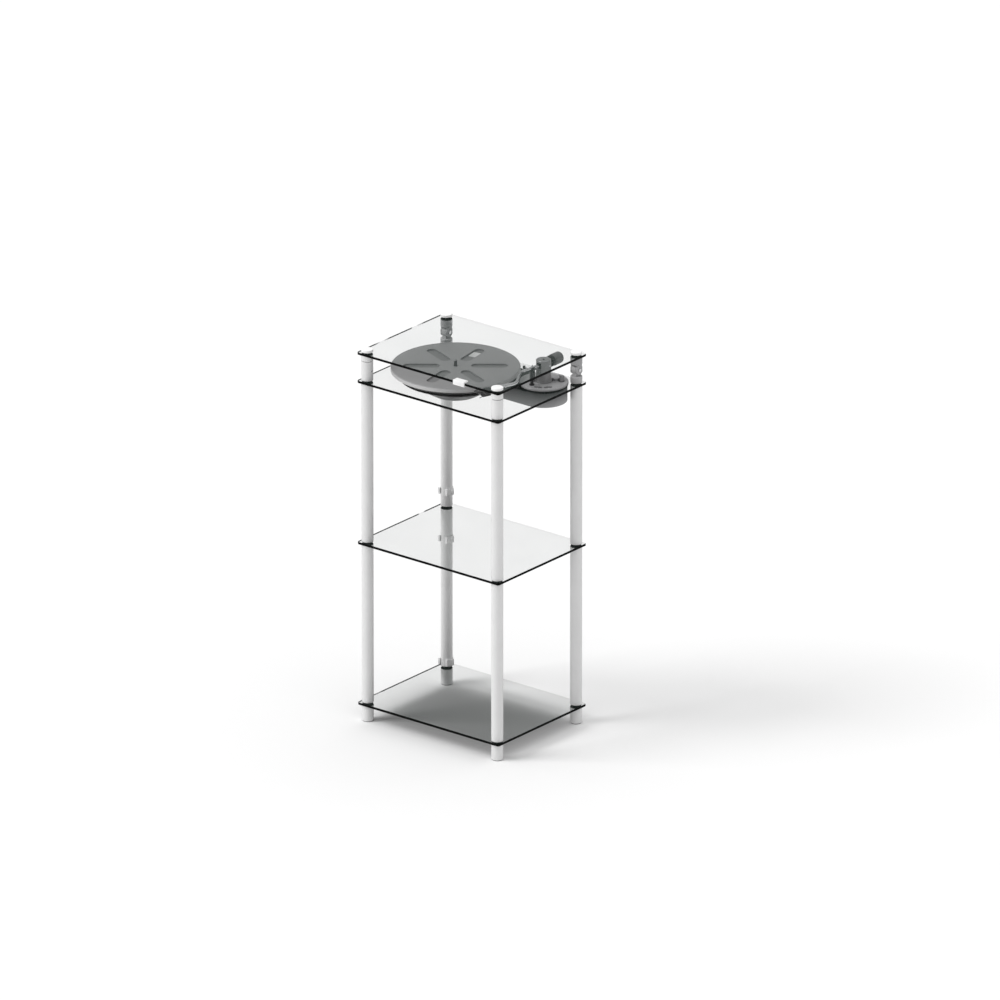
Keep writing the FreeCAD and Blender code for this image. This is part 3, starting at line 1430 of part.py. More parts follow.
def build_controls():
    knob = ring("anti_skate_knob", "knob_diameter", None, "knob_height", POD_X + " + knob_x",
                POD_Y + " + knob_y", COVER_TOP + " + knob_gap")
    rim = sketch(knob, offset="knob_height")
    rectangle(rim, "knob_diameter / 2 - knob_groove_depth", "-knob_groove_width / 2", "knob_diameter",
              "knob_groove_width / 2")
    groove = cut(knob, rim, "knob_height - knob_skirt")
    around(knob, rim, groove, "knob_groove_count")
    shaft = sketch(knob, offset="-knob_shaft_length - knob_gap")
    circle(shaft, "knob_shaft_diameter")
    pad(knob, shaft, "knob_shaft_length + knob_gap")
    node(knob, "anti_skate_knob")

    foot_low = "(cover_height - housing_wall - button_play - button_foot)"
    for label, angle in (("speed_button_near", "speed_near_turn"), ("speed_button_far", "speed_far_turn")):
        button = body(label)
        drawing = sketch(button, offset=foot_low)
        button_outline(drawing, "0")
        pad(button, drawing, "cover_height + speed_rise - %s" % foot_low)
        foot = sketch(button, offset=foot_low)
        button_outline(foot, "button_foot")
        pad(button, foot, "button_foot")
        place(button, POD_X, POD_Y, COVER_LOW)
        turn(button, angle)
        node(button, label)

    tall = "(cover_height + power_rise - %s)" % foot_low
    power = ring("power_button", "power_diameter", None, tall, POD_X + " + power_x", POD_Y + " + power_y",
                 "%s + %s" % (COVER_LOW, foot_low))
    ease(power, "Fillet", "power_round", round_edge_at(tall, "power_diameter"))
    foot = sketch(power)
    circle(foot, "power_diameter + 2 * button_foot")
    pad(power, foot, "button_foot")
    node(power, "power_button")


BUILDERS = (
    build_posts, build_glides, build_panes, build_fasteners, build_lid_corners, build_hinges,
    build_handle, build_clips, build_bowl, build_drive, build_platter, build_housing, build_cover,
    build_board, build_pillar, build_arm, build_headshell, build_counterweight, build_rest, build_lift,
    build_controls,
)
for build in BUILDERS:
    build()
doc.recompute()

for item in doc.Objects:
    if "Invalid" in item.State or "Error" in item.State:
        raise RuntimeError("%s failed: %s" % (item.Label, item.State))
for item in nodes:
    if item.Shape.isNull() or not item.Shape.isValid() or not item.Shape.Solids:
        raise RuntimeError("%s has no sound solid" % item.Label)

os.makedirs("parts", exist_ok=True)
for item in nodes:
    item.Shape.exportStep("parts/%s.step" % item.Label)
print("%d sub-parts written" % len(nodes))
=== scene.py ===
"""Record player stand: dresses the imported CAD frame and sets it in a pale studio."""
import json
import math

import bmesh
import bpy
from mathutils import Matrix, Vector


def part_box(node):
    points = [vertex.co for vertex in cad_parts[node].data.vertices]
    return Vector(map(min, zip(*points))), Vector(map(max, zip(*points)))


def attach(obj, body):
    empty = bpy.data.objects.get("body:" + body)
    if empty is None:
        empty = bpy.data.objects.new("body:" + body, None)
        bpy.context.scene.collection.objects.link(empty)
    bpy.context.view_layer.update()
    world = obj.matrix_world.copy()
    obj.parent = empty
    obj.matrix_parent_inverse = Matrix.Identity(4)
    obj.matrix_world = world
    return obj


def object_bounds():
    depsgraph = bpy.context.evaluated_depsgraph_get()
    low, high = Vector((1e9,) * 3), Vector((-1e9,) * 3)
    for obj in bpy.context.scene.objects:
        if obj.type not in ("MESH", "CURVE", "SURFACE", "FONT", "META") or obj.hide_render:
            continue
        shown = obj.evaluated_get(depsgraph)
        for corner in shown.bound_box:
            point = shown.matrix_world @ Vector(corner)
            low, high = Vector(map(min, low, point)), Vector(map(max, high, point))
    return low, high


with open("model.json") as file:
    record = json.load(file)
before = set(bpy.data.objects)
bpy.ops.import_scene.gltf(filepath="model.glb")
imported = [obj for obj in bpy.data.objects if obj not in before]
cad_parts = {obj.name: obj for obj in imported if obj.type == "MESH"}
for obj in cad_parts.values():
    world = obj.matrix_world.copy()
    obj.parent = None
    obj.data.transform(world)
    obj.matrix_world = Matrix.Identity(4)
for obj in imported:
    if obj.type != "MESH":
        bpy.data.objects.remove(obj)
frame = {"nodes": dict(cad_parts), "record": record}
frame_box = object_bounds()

MM = 0.001

# Looks: linear colours of the finishes, and how much glass hides or lets through
WHITE = (0.76, 0.76, 0.76)
CAP_WHITE = (0.92, 0.92, 0.92)
GLASS_SKIN = (0.10, 0.14, 0.125)
# near-black painted shade on the glass edges, for their dark look
GLASS_EDGE_PAINTED_SHADE = (0.001, 0.0014, 0.0013)
GLASS_COVER = 0.10
GLASS_INNER_EDGE = 0.12
GLASS_SIDE_EDGE = 0.95
SHELF_SHADOW = (0.66, 0.66, 0.66)
SHELF_AMBIENT = (0.34, 0.34, 0.34)
LID_SHADOW = (0.90, 0.90, 0.90)
LID_AMBIENT = (0.85, 0.85, 0.85)
RUBBER = (0.022, 0.022, 0.023)
STEEL = (0.56, 0.56, 0.57)
ZINC = (0.50, 0.51, 0.53)
BRASS = (0.66, 0.50, 0.24)
PLATTER = (0.28, 0.28, 0.282)
# painted shade on the floors of the platter's slots
PLATTER_SLOT_PAINTED_SHADE = (0.18, 0.18, 0.182)
# painted light on the platter's side
PLATTER_SIDE_PAINTED_LIGHT = (0.51, 0.51, 0.51)
CHASSIS = (0.074, 0.074, 0.076)
HOUSING = (0.10, 0.10, 0.102)
# painted floor light on the lower side of the arm housing
HOUSING_PAINTED_LIGHT = (0.34, 0.34, 0.345)
WEIGHT = (0.185, 0.185, 0.187)
HINGE = (0.36, 0.36, 0.365)
HINGE_BASE = (0.42, 0.42, 0.424)
COVER = (0.35, 0.35, 0.354)
ARM_BASE = (0.24, 0.24, 0.242)
ARM_SILVER = (0.55, 0.55, 0.56)
CARTRIDGE = (0.010, 0.010, 0.011)
BLACK = (0.024, 0.024, 0.025)
BUTTON = (0.26, 0.26, 0.263)
PLATE = (0.95, 0.95, 0.95)
SPINDLE = (0.20, 0.20, 0.205)
KNOB = (0.50, 0.50, 0.51)
COPPER = (0.55, 0.26, 0.13)
BOARD = (0.03, 0.13, 0.07)

# The platter's slots and rounded rim, as the CAD model holds them
SLOT_DEPTH = 3.4 * MM
SLOT_REACH = 124.0 * MM
RIM_ROUND = 2.5 * MM

# Finish recipes: stretches of a cloud's value, its detail, and how an edge is found
MOTTLE_SPAN = (0.35, 0.65)
POLISH_SPAN = (0.3, 0.7)
RUB_SPAN = (0.4, 0.6)
RUB_LEAST = 0.35
EDGE_TURN = (0.985, 0.85)
BEVEL_SAMPLES = 4
CLOUD_DETAIL = 4.0
GLOSS_DETAIL = 6.0
GRAIN_DETAIL = 2.0
CLOUD_ROUGHNESS = 0.55
LEAST_ROUGHNESS = 0.02
RUB_PER_RADIUS = 6
WAVE_LENGTH = math.pi / 10  # of the wave node at scale 1

# Glass
GLASS_ROUGHNESS = 0.06
GLASS_SHINE = 0.04
SMEAR_SIZE = 50 * MM
SMEAR_SPAN = (0.4, 0.75)
SMEAR_ROUGHNESS = (0.03, 0.16)
EDGE_UPRIGHT = (0.97, 0.9)
SIDE_FACING = (0.3, 0.6)
ARRIS_HEIGHT = (0.40, 0.45)
ARRIS_CLOUD = 60 * MM
ARRIS_DETAIL = 1.0
ARRIS_BREAKS = (0.34, 0.42)
COVER_CLOUD = 120 * MM
COVER_SWING = (0.9, 1.1)

PAINT_SHINE = 0.12

# How much lighter or darker than its finish an edge is
RUBBED_SHADE = 0.82
# pale metal edges: rubbed wear, and on turned metal also a painted highlight
BARE_EDGE_AND_HIGHLIGHT_SHADE = 1.5
DUSTY_SHADE = 2.2


# Materials

class Surface:
    """A procedural finish: one principled shader with variation in colour, gloss and height."""

    def __init__(self, name, colour, roughness, metallic=0.0):
        self.material = bpy.data.materials.new(name)
        self.material.use_nodes = True
        self.tree = self.material.node_tree
        self.shader = self.tree.nodes["Principled BSDF"]
        self.name = name
        self.colour = colour
        self.roughness = roughness
        self.paint = (*colour, 1.0)
        self.relief = None
        self.place = self.add("ShaderNodeTexCoord").outputs["Object"]
        self.shader.inputs["Base Color"].default_value = self.paint
        self.shader.inputs["Roughness"].default_value = roughness
        self.shader.inputs["Metallic"].default_value = metallic
        self.material.diffuse_color = self.paint

    def add(self, kind, **settings):
        node = self.tree.nodes.new(kind)
        for name, setting in settings.items():
            setattr(node, name, setting)
        return node

    def link(self, source, entry):
        """Feeds an input from another node's output, or sets it to a plain value."""
        if isinstance(source, bpy.types.NodeSocket):
            self.tree.links.new(source, entry)
        else:
            entry.default_value = source

    def spots(self, size, detail=CLOUD_DETAIL):
        """Soft random cloud, its features about size metres across."""
        noise = self.add("ShaderNodeTexNoise")
        noise.inputs["Scale"].default_value = 1.0 / size
        noise.inputs["Detail"].default_value = detail
        noise.inputs["Roughness"].default_value = CLOUD_ROUGHNESS
        self.link(self.place, noise.inputs["Vector"])
        return noise.outputs["Fac"]

    def remap(self, value, low, high, start=0.0, end=1.0):
        """The value's stretch from low to high, spread over start to end and held there."""
        spread = self.add("ShaderNodeMapRange")
        self.link(value, spread.inputs["Value"])
        spread.inputs["From Min"].default_value = low
        spread.inputs["From Max"].default_value = high
        spread.inputs["To Min"].default_value = start
        spread.inputs["To Max"].default_value = end
        return spread.outputs["Result"]

    def maths(self, kind, first, second):
        node = self.add("ShaderNodeMath", operation=kind)
        self.link(first, node.inputs[0])
        self.link(second, node.inputs[1])
        return node.outputs["Value"]

    def blend(self, kind, mask, first, second):
        """Goes from the first value to the second as the mask goes from 0 to 1."""
        mix = self.add("ShaderNodeMix", data_type=kind)
        self.link(mask, mix.inputs["Factor"])
        self.link(first, mix.inputs["A"])
        self.link(second, mix.inputs["B"])
        return mix.outputs["Result"]

    def tint(self, mask, colour):
        """Lays a colour over the paint where the mask is white."""
        self.paint = self.blend("RGBA", mask, self.paint, (*colour, 1.0))
        self.link(self.paint, self.shader.inputs["Base Color"])
        return self

    def mottle(self, size, swing):
        """Slight unevenness of the colour."""
        darker = shade(self.colour, 1.0 - swing)
        return self.tint(self.remap(self.spots(size), *MOTTLE_SPAN), darker)

    def polish(self, size, swing):
        """Slight unevenness of the gloss."""
        low = max(self.roughness - swing / 2, LEAST_ROUGHNESS)
        gloss = self.remap(self.spots(size, GLOSS_DETAIL), *POLISH_SPAN, low, low + swing)
        self.link(gloss, self.shader.inputs["Roughness"])
        return self

    def raise_by(self, value, height):
        """Adds a relief of a height in metres."""
        bump = self.add("ShaderNodeBump")
        bump.inputs["Distance"].default_value = height
        bump.inputs["Strength"].default_value = 1.0
        self.link(value, bump.inputs["Height"])
        if self.relief is not None:
            self.link(self.relief, bump.inputs["Normal"])
        self.relief = bump.outputs["Normal"]
        self.link(self.relief, self.shader.inputs["Normal"])
        return self

    def grain(self, size, height):
        """A fine bump such as powder coat, blasting or moulding."""
        return self.raise_by(self.spots(size, GRAIN_DETAIL), height)

    def level(self):
        """Height above the floor, in metres."""
        split = self.add("ShaderNodeSeparateXYZ")
        self.link(self.place, split.inputs["Vector"])
        return split.outputs["Z"]

    def about(self, axis):
        """The place measured from an upright axis."""
        shift = self.add("ShaderNodeVectorMath", operation="SUBTRACT")
        self.link(self.place, shift.inputs[0])
        shift.inputs[1].default_value = (axis.x, axis.y, 0.0)
        return shift.outputs["Vector"]

    def reach(self, axis):
        """Distance from an upright axis, in metres."""
        flat = self.add("ShaderNodeVectorMath", operation="MULTIPLY")
        self.link(self.about(axis), flat.inputs[0])
        flat.inputs[1].default_value = (1.0, 1.0, 0.0)
        length = self.add("ShaderNodeVectorMath", operation="LENGTH")
        self.link(flat.outputs["Vector"], length.inputs[0])
        return length.outputs["Value"]

    def turned(self, axis, pitch, height):
        """Fine rings about an upright axis, as a lathe leaves them."""
        rings = self.add("ShaderNodeTexWave", wave_type="RINGS", rings_direction="Z")
        rings.inputs["Scale"].default_value = WAVE_LENGTH / pitch
        rings.inputs["Distortion"].default_value = 0.0
        self.link(self.about(axis), rings.inputs["Vector"])
        return self.raise_by(rings.outputs["Fac"], height)

    def worn(self, radius, colour, amount):
        """Brighter or duller edges, broken up by a cloud."""
        bevel = self.add("ShaderNodeBevel", samples=BEVEL_SAMPLES)
        bevel.inputs["Radius"].default_value = radius
        true = self.add("ShaderNodeNewGeometry")
        match = self.add("ShaderNodeVectorMath", operation="DOT_PRODUCT")
        self.link(bevel.outputs["Normal"], match.inputs[0])
        self.link(true.outputs["Normal"], match.inputs[1])
        edge = self.remap(match.outputs["Value"], *EDGE_TURN, 0.0, amount)
        broken = self.remap(self.spots(radius * RUB_PER_RADIUS), *RUB_SPAN, RUB_LEAST, 1.0)
        return self.tint(self.maths("MULTIPLY", edge, broken), colour)


def shade(colour, factor):
    return tuple(min(channel * factor, 1.0) for channel in colour)


def painted(name, colour, roughness):
    """Satin powder coat: a faint orange peel, soft clouds and slightly rubbed edges."""
    finish = Surface(name, colour, roughness)
    finish.shader.inputs["Specular IOR Level"].default_value = PAINT_SHINE
    finish.mottle(size=50 * MM, swing=0.03).polish(size=20 * MM, swing=0.10)
    finish.grain(size=1.2 * MM, height=0.01 * MM)
    return finish.worn(radius=0.6 * MM, colour=shade(colour, RUBBED_SHADE), amount=0.5)


def metal(name, colour, roughness, wear=BARE_EDGE_AND_HIGHLIGHT_SHADE):
    """Bare or anodised metal: fine blasting and brighter edges."""
    finish = Surface(name, colour, roughness, metallic=1.0)
    finish.mottle(size=30 * MM, swing=0.08).polish(size=12 * MM, swing=0.12)
    finish.grain(size=0.4 * MM, height=0.006 * MM)
    return finish.worn(radius=0.4 * MM, colour=shade(colour, wear), amount=0.7)


def satin(name, colour, roughness, pitch, axis):
    """Turned metal under satin lacquer: fine rings, faint clouds, and pale edges that are both rubbed
    wear and painted highlight.
    """
    finish = Surface(name, colour, roughness)
    finish.mottle(size=40 * MM, swing=0.05).polish(size=15 * MM, swing=0.10)
    finish.turned(axis, pitch, height=0.006 * MM).grain(size=0.4 * MM, height=0.004 * MM)
    # Pale edges: rubbed wear, and a painted highlight along rims such as the platter's
    return finish.worn(radius=0.4 * MM, colour=shade(colour, BARE_EDGE_AND_HIGHLIGHT_SHADE), amount=0.6)


def moulded(name, colour, roughness):
    """Moulded plastic or rubber: a fine skin, clouds and dusty edges."""
    finish = Surface(name, colour, roughness)
    finish.mottle(size=20 * MM, swing=0.12).polish(size=10 * MM, swing=0.16)
    finish.grain(size=0.5 * MM, height=0.02 * MM)
    return finish.worn(radius=0.4 * MM, colour=shade(colour, DUSTY_SHADE), amount=0.35)


def arris_cover(glass, facing):
    """How much a pane's edge hides when it is seen from inside the glass.

    The left and right edges show a painted dark line with gaps, and the rest stays pale.
    """
    height = glass.add("ShaderNodeSeparateXYZ")
    glass.link(glass.add("ShaderNodeTexCoord").outputs["Generated"], height.inputs["Vector"])
    side = glass.remap(glass.maths("ABSOLUTE", facing.outputs["X"], 0.0), *SIDE_FACING)
    upper = glass.remap(height.outputs["Z"], *ARRIS_HEIGHT)
    unbroken = glass.remap(glass.spots(ARRIS_CLOUD, ARRIS_DETAIL), *ARRIS_BREAKS)
    # Painted shade: where the dark edge line shows, and where it breaks
    line = glass.maths("MULTIPLY", glass.maths("MULTIPLY", side, upper), unbroken)
    return glass.remap(line, 0.0, 1.0, GLASS_INNER_EDGE, GLASS_SIDE_EDGE)


def clear_glass(name, shadow, ambient):
    """Clear float glass: a faint skin over what lies behind, and ground edges in painted near-black
    shade.
    """
    glass = Surface(name, GLASS_SKIN, GLASS_ROUGHNESS)
    shader = glass.shader
    shader.inputs["Specular IOR Level"].default_value = GLASS_SHINE
    facing = glass.add("ShaderNodeSeparateXYZ")
    glass.link(glass.add("ShaderNodeTexCoord").outputs["Normal"], facing.inputs["Vector"])
    edge = glass.remap(glass.maths("ABSOLUTE", facing.outputs["Z"], 0.0), *EDGE_UPRIGHT)
    # Painted shade: the edges nearly black, standing in for their dark look through the glass
    glass.tint(edge, GLASS_EDGE_PAINTED_SHADE)
    smear = glass.remap(glass.spots(SMEAR_SIZE, GLOSS_DETAIL), *SMEAR_SPAN, *SMEAR_ROUGHNESS)
    glass.link(smear, shader.inputs["Roughness"])

    inside = glass.add("ShaderNodeNewGeometry").outputs["Backfacing"]
    edge_cover = glass.blend("FLOAT", inside, 1.0, arris_cover(glass, facing))
    least, most = (GLASS_COVER * swing for swing in COVER_SWING)
    skin_cover = glass.remap(glass.spots(COVER_CLOUD), *POLISH_SPAN, least, most)
    glass.link(glass.blend("FLOAT", edge, skin_cover, edge_cover), shader.inputs["Alpha"])

    # Lamps and bounced light come through weakened, so a pane shades what is under it
    rays = glass.add("ShaderNodeLightPath")
    to_lamp = rays.outputs["Is Shadow Ray"]
    passing = glass.maths("MAXIMUM", to_lamp, rays.outputs["Is Diffuse Ray"])
    dimmed = glass.blend("RGBA", to_lamp, (*ambient, 1.0), (*shadow, 1.0))
    through = glass.add("ShaderNodeBsdfTransparent")
    glass.link(dimmed, through.inputs["Color"])
    pick = glass.add("ShaderNodeMixShader")
    glass.link(passing, pick.inputs["Fac"])
    glass.link(shader.outputs["BSDF"], pick.inputs[1])
    glass.link(through.outputs["BSDF"], pick.inputs[2])
    glass.link(pick.outputs["Shader"], glass.tree.nodes["Material Output"].inputs["Surface"])
    return glass


RECORD_PITCH = 1.2 * MM
COVER_PITCH = 1.0 * MM
BASE_PITCH = 0.8 * MM
SLOT_FLOOR = (0.98, 0.8)  # shares of a slot's depth
RIM_SIDE_SHARE = 0.3
RIM_BLEND = 2 * MM
HOUSING_FADE = 0.8


def platter_finish():
    """Turned grey, with painted shade on the slot floors and painted light on the side."""
    axis, height = middle("platter"), top("platter")
    platter = satin("platter_grey", PLATTER, roughness=0.45, pitch=RECORD_PITCH, axis=axis)
    deep, shallow = (height - share * SLOT_DEPTH for share in SLOT_FLOOR)
    sunk = platter.remap(platter.level(), deep, shallow, 1.0, 0.0)
    within = platter.remap(platter.reach(axis), SLOT_REACH, SLOT_REACH + RIM_BLEND, 1.0, 0.0)
    # Painted shade: the slot floors darker than the top
    platter.tint(platter.maths("MULTIPLY", sunk, within), PLATTER_SLOT_PAINTED_SHADE)
    # Painted light: the side below the rounded rim paler than the top
    rim_low, rim_high = height - RIM_ROUND, height - RIM_SIDE_SHARE * RIM_ROUND
    below = platter.remap(platter.level(), rim_low, rim_high, 1.0, 0.0)
    outside = platter.remap(platter.reach(axis), SLOT_REACH, SLOT_REACH + RIM_BLEND)
    return platter.tint(platter.maths("MULTIPLY", below, outside), PLATTER_SIDE_PAINTED_LIGHT)


def housing_finish():
    """Dark grey paint, with painted floor light that pales it towards the underside."""
    low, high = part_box("arm_housing")
    housing = painted("housing_grey_painted_light", HOUSING, roughness=0.40)
    fade_end = low.z + HOUSING_FADE * (high.z - low.z)
    # Painted light: paler towards the bottom, as the floor lights it, darker up under the deck
    return housing.tint(housing.remap(housing.level(), low.z, fade_end, 1.0, 0.0), HOUSING_PAINTED_LIGHT)


def make_materials():
    """Makes every finish once, by name."""
    pod = middle("arm_cover")
    finishes = (
        painted("post_white", WHITE, roughness=0.40),
        painted("cap_white", CAP_WHITE, roughness=0.35),
        moulded("clip_white", CAP_WHITE, roughness=0.38),
        clear_glass("clear_glass", SHELF_SHADOW, SHELF_AMBIENT),
        clear_glass("lid_glass", LID_SHADOW, LID_AMBIENT),
        moulded("black_rubber", RUBBER, roughness=0.7),
        metal("steel", STEEL, roughness=0.25),
        metal("zinc_insert", ZINC, roughness=0.4),
        metal("brass", BRASS, roughness=0.28),
        platter_finish(),
        painted("chassis_grey", CHASSIS, roughness=0.40),
        housing_finish(),
        satin("cover_grey", COVER, roughness=0.42, pitch=COVER_PITCH, axis=pod),
        satin("arm_base_grey", ARM_BASE, roughness=0.40, pitch=BASE_PITCH, axis=pod),
        metal("arm_silver", ARM_SILVER, roughness=0.24),
        moulded("arm_black", BLACK, roughness=0.42),
        moulded("cartridge_black", CARTRIDGE, roughness=0.3),
        painted("weight_grey", WEIGHT, roughness=0.38),
        metal("knob_silver", KNOB, roughness=0.3),
        moulded("button_grey", BUTTON, roughness=0.35),
        metal("motor_copper", COPPER, roughness=0.35),
        moulded("board_green", BOARD, roughness=0.4),
        painted("hinge_grey", HINGE, roughness=0.36),
        painted("hinge_base_grey", HINGE_BASE, roughness=0.36),
        metal("spindle_grey", SPINDLE, roughness=0.3),
        metal("plate_silver", PLATE, roughness=0.35, wear=1.0),
    )
    return {finish.name: finish.material for finish in finishes}


# Nodes whose look differs from the finish that their slot names
NODE_FINISHES = {
    "hinge_heads": "hinge_grey",
    "hinge_bases": "hinge_base_grey",
    "spindle": "spindle_grey",
    "arm_housing": "housing_grey_painted_light",
    "headshell": "cartridge_black",
    "lid_glass": "lid_glass",
}


def dress_nodes(materials):
    """Gives each CAD node the finish of its slot, or its own."""
    for entry in frame["record"]["subparts"]:
        piece = frame["nodes"][entry["node"]]
        piece.data.materials.clear()
        finish = NODE_FINISHES.get(entry["node"], entry["material_slot"])
        piece.data.materials.append(materials[finish])


# Detail pieces: shapes are made in mesh code and placed by the frame's boxes

ROUND_STEPS = 48
SMALL_STEPS = 20
SMOOTH_ANGLE = math.radians(35.0)
MERGE_DISTANCE = 0.0001 * MM
SEAT = 0.3 * MM
EASED_EDGE = 0.1 * MM
PRINT_HEIGHT = 0.12 * MM
PRINT_LINE = 0.5 * MM
PRINT_EDGE = 0.04 * MM
TICK_WIDTH = 0.3 * MM
FULL_TURN = 2 * math.pi
HALF_TURN = math.pi
QUARTER_TURN = math.pi / 2

# A socket screw's head, as shares of its height and radius
SOCKET_FLOOR = 0.35
HEAD_SHOULDER = 0.75
HEAD_TOP = 0.85


def middle(node):
    low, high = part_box(node)
    return (low + high) / 2


def top(node):
    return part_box(node)[1].z


def at(x, y, z):
    return Matrix.Translation((x, y, z))


def turned_by(turn):
    return Matrix.Rotation(turn, 4, "Z")


def pointing(origin, direction):
    """A local frame at the origin whose Z runs along the direction."""
    turn = Vector(direction).to_track_quat("Z", "Y")
    return Matrix.Translation(origin) @ turn.to_matrix().to_4x4()


def polar(radius, angle, height=0.0):
    return Vector((radius * math.cos(angle), radius * math.sin(angle), height))


def bridge(shape, first, second):
    """Joins two rings of points with faces; either may be a single point."""
    count = max(len(first), len(second))
    for index in range(count):
        after = (index + 1) % count
        corners = [first[index % len(first)], first[after % len(first)]]
        corners += [second[after % len(second)], second[index % len(second)]]
        unlike = list(dict.fromkeys(corners))
        shape.faces.new(unlike)


def lathe(shape, profile, place, steps=ROUND_STEPS, closed=False):
    """Adds a turned form: its profile is (radius, height) pairs about the place's Z."""
    rings = []
    for radius, height in profile:
        around = steps if radius > 0.0 else 1
        turns = [FULL_TURN * index / around for index in range(around)]
        rings.append([shape.verts.new(place @ polar(radius, turn, height)) for turn in turns])
    pairs = zip(rings, rings[1:] + rings[:1]) if closed else zip(rings, rings[1:])
    for first, second in pairs:
        bridge(shape, first, second)


def washer(shape, inner, outer, height, place, edge=EASED_EDGE, steps=ROUND_STEPS):
    """Adds a flat ring with eased edges, sunk a little into what it lies on."""
    profile = [(inner, -SEAT), (outer, -SEAT), (outer, height - edge), (outer - edge, height)]
    profile += [(inner + edge, height), (inner, height - edge)]
    lathe(shape, profile, place, steps, closed=True)


def socket_screw(shape, place, head, height, socket, shank=0.0, length=SEAT):
    """Adds a round screw head with a round socket, on a shank that runs into its seat."""
    shank = shank or head
    floor, shoulder = SOCKET_FLOOR * height, HEAD_SHOULDER * height
    profile = [(0.0, floor), (socket, floor), (socket, height), (HEAD_TOP * head, height)]
    profile += [(head, shoulder), (head, 0.0), (shank, 0.0), (shank, -length), (0.0, -length)]
    lathe(shape, profile, place, SMALL_STEPS)


def slab(shape, outline, low, high, place):
    """Adds a plate of an outline between two heights."""
    floor = [shape.verts.new(place @ Vector((x, y, low))) for x, y in outline]
    roof = [shape.verts.new(place @ Vector((x, y, high))) for x, y in outline]
    shape.faces.new(floor)
    shape.faces.new(roof)
    bridge(shape, floor, roof)


def tick(shape, start, end, width, place):
    """Adds a printed line along the place's X, from start to end."""
    half = width / 2
    slab(shape, [(start, -half), (end, -half), (end, half), (start, half)], -SEAT, PRINT_HEIGHT, place)


def bar_outline(length, width, steps=8):
    """Points of a bar with round ends, its length along Y."""
    radius = width / 2
    straight = length / 2 - radius
    points = []
    for centre, start in ((straight, 0.0), (-straight, HALF_TURN)):
        for index in range(steps + 1):
            turn = start + HALF_TURN * index / steps
            points.append((radius * math.cos(turn), centre + radius * math.sin(turn)))
    return points


def plate_outline(length, width, corner, steps=6):
    """Points of a plate with rounded corners, its length along Y."""
    points = []
    for quarter, (across, along) in enumerate(((1, 1), (-1, 1), (-1, -1), (1, -1))):
        for index in range(steps + 1):
            turn = QUARTER_TURN * (quarter + index / steps)
            x = across * (width / 2 - corner) + corner * math.cos(turn)
            points.append((x, along * (length / 2 - corner) + corner * math.sin(turn)))
    return points


def bar_frame(shape, length, width, rim, height, place):
    """Adds a flat frame round a bar with round ends."""
    rings = []
    for spread, level in ((0.0, -SEAT), (rim, -SEAT), (rim, height), (0.0, height)):
        outline = bar_outline(length + 2 * spread, width + 2 * spread)
        rings.append([shape.verts.new(place @ Vector((x, y, level))) for x, y in outline])
    for first, second in zip(rings, rings[1:] + rings[:1]):
        bridge(shape, first, second)


def numeral(shape, text, size, place):
    """Adds plain raised numbers, centred on the place."""
    curve = bpy.data.curves.new("numeral", "FONT")
    curve.body, curve.size = text, size
    curve.align_x, curve.align_y = "CENTER", "CENTER"
    curve.extrude = PRINT_HEIGHT
    holder = bpy.data.objects.new("numeral", curve)
    bpy.context.scene.collection.objects.link(holder)
    bpy.context.view_layer.update()
    solid = holder.evaluated_get(bpy.context.evaluated_depsgraph_get())
    mesh = bpy.data.meshes.new_from_object(solid)
    mesh.transform(place)
    shape.from_mesh(mesh)
    bpy.data.objects.remove(holder)
    bpy.data.curves.remove(curve)
    bpy.data.meshes.remove(mesh)


def make_piece(name, shape, materials, slot, body, finish=None):
    """Turns a shape into a finished piece that rides on its body."""
    bmesh.ops.remove_doubles(shape, verts=shape.verts, dist=MERGE_DISTANCE)
    bmesh.ops.recalc_face_normals(shape, faces=shape.faces)
    mesh = bpy.data.meshes.new(name)
    shape.to_mesh(mesh)
    shape.free()
    mesh.shade_smooth()
    mesh.set_sharp_from_angle(angle=SMOOTH_ANGLE)
    mesh.materials.append(materials[finish or slot])
    piece = bpy.data.objects.new(name, mesh)
    bpy.context.scene.collection.objects.link(piece)
    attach(piece, body)


# Platter: a bare plate in one slot, and two fine rings near the rim

LABEL_TURN = math.radians(98.8)
LABEL_REACH = 88.0 * MM
LABEL_LENGTH = 28.0 * MM
LABEL_WIDTH = 19.0 * MM
LABEL_CORNER = 3.0 * MM
LABEL_THICK = 0.8 * MM
RIM_RING_REACHES = (144.5 * MM, 146.6 * MM)
RIM_RING_STEPS = 160


def detail_platter(materials):
    axis = middle("platter")
    height = top("platter")
    shape = bmesh.new()
    place = at(axis.x, axis.y, height - SLOT_DEPTH) @ turned_by(LABEL_TURN - QUARTER_TURN)
    outline = plate_outline(LABEL_LENGTH, LABEL_WIDTH, LABEL_CORNER)
    slab(shape, [(x, y + LABEL_REACH) for x, y in outline], -SEAT, LABEL_THICK, place)
    make_piece("platter_plate", shape, materials, "knob_silver", "platter", "plate_silver")

    shape = bmesh.new()
    place = at(axis.x, axis.y, height)
    for reach in RIM_RING_REACHES:
        washer(shape, reach, reach + PRINT_LINE, PRINT_HEIGHT, place, PRINT_EDGE, RIM_RING_STEPS)
    make_piece("platter_rim_lines", shape, materials, "platter_grey", "platter")


# Headshell and cartridge: screws half an inch apart, output pins, index line, knurl and collar

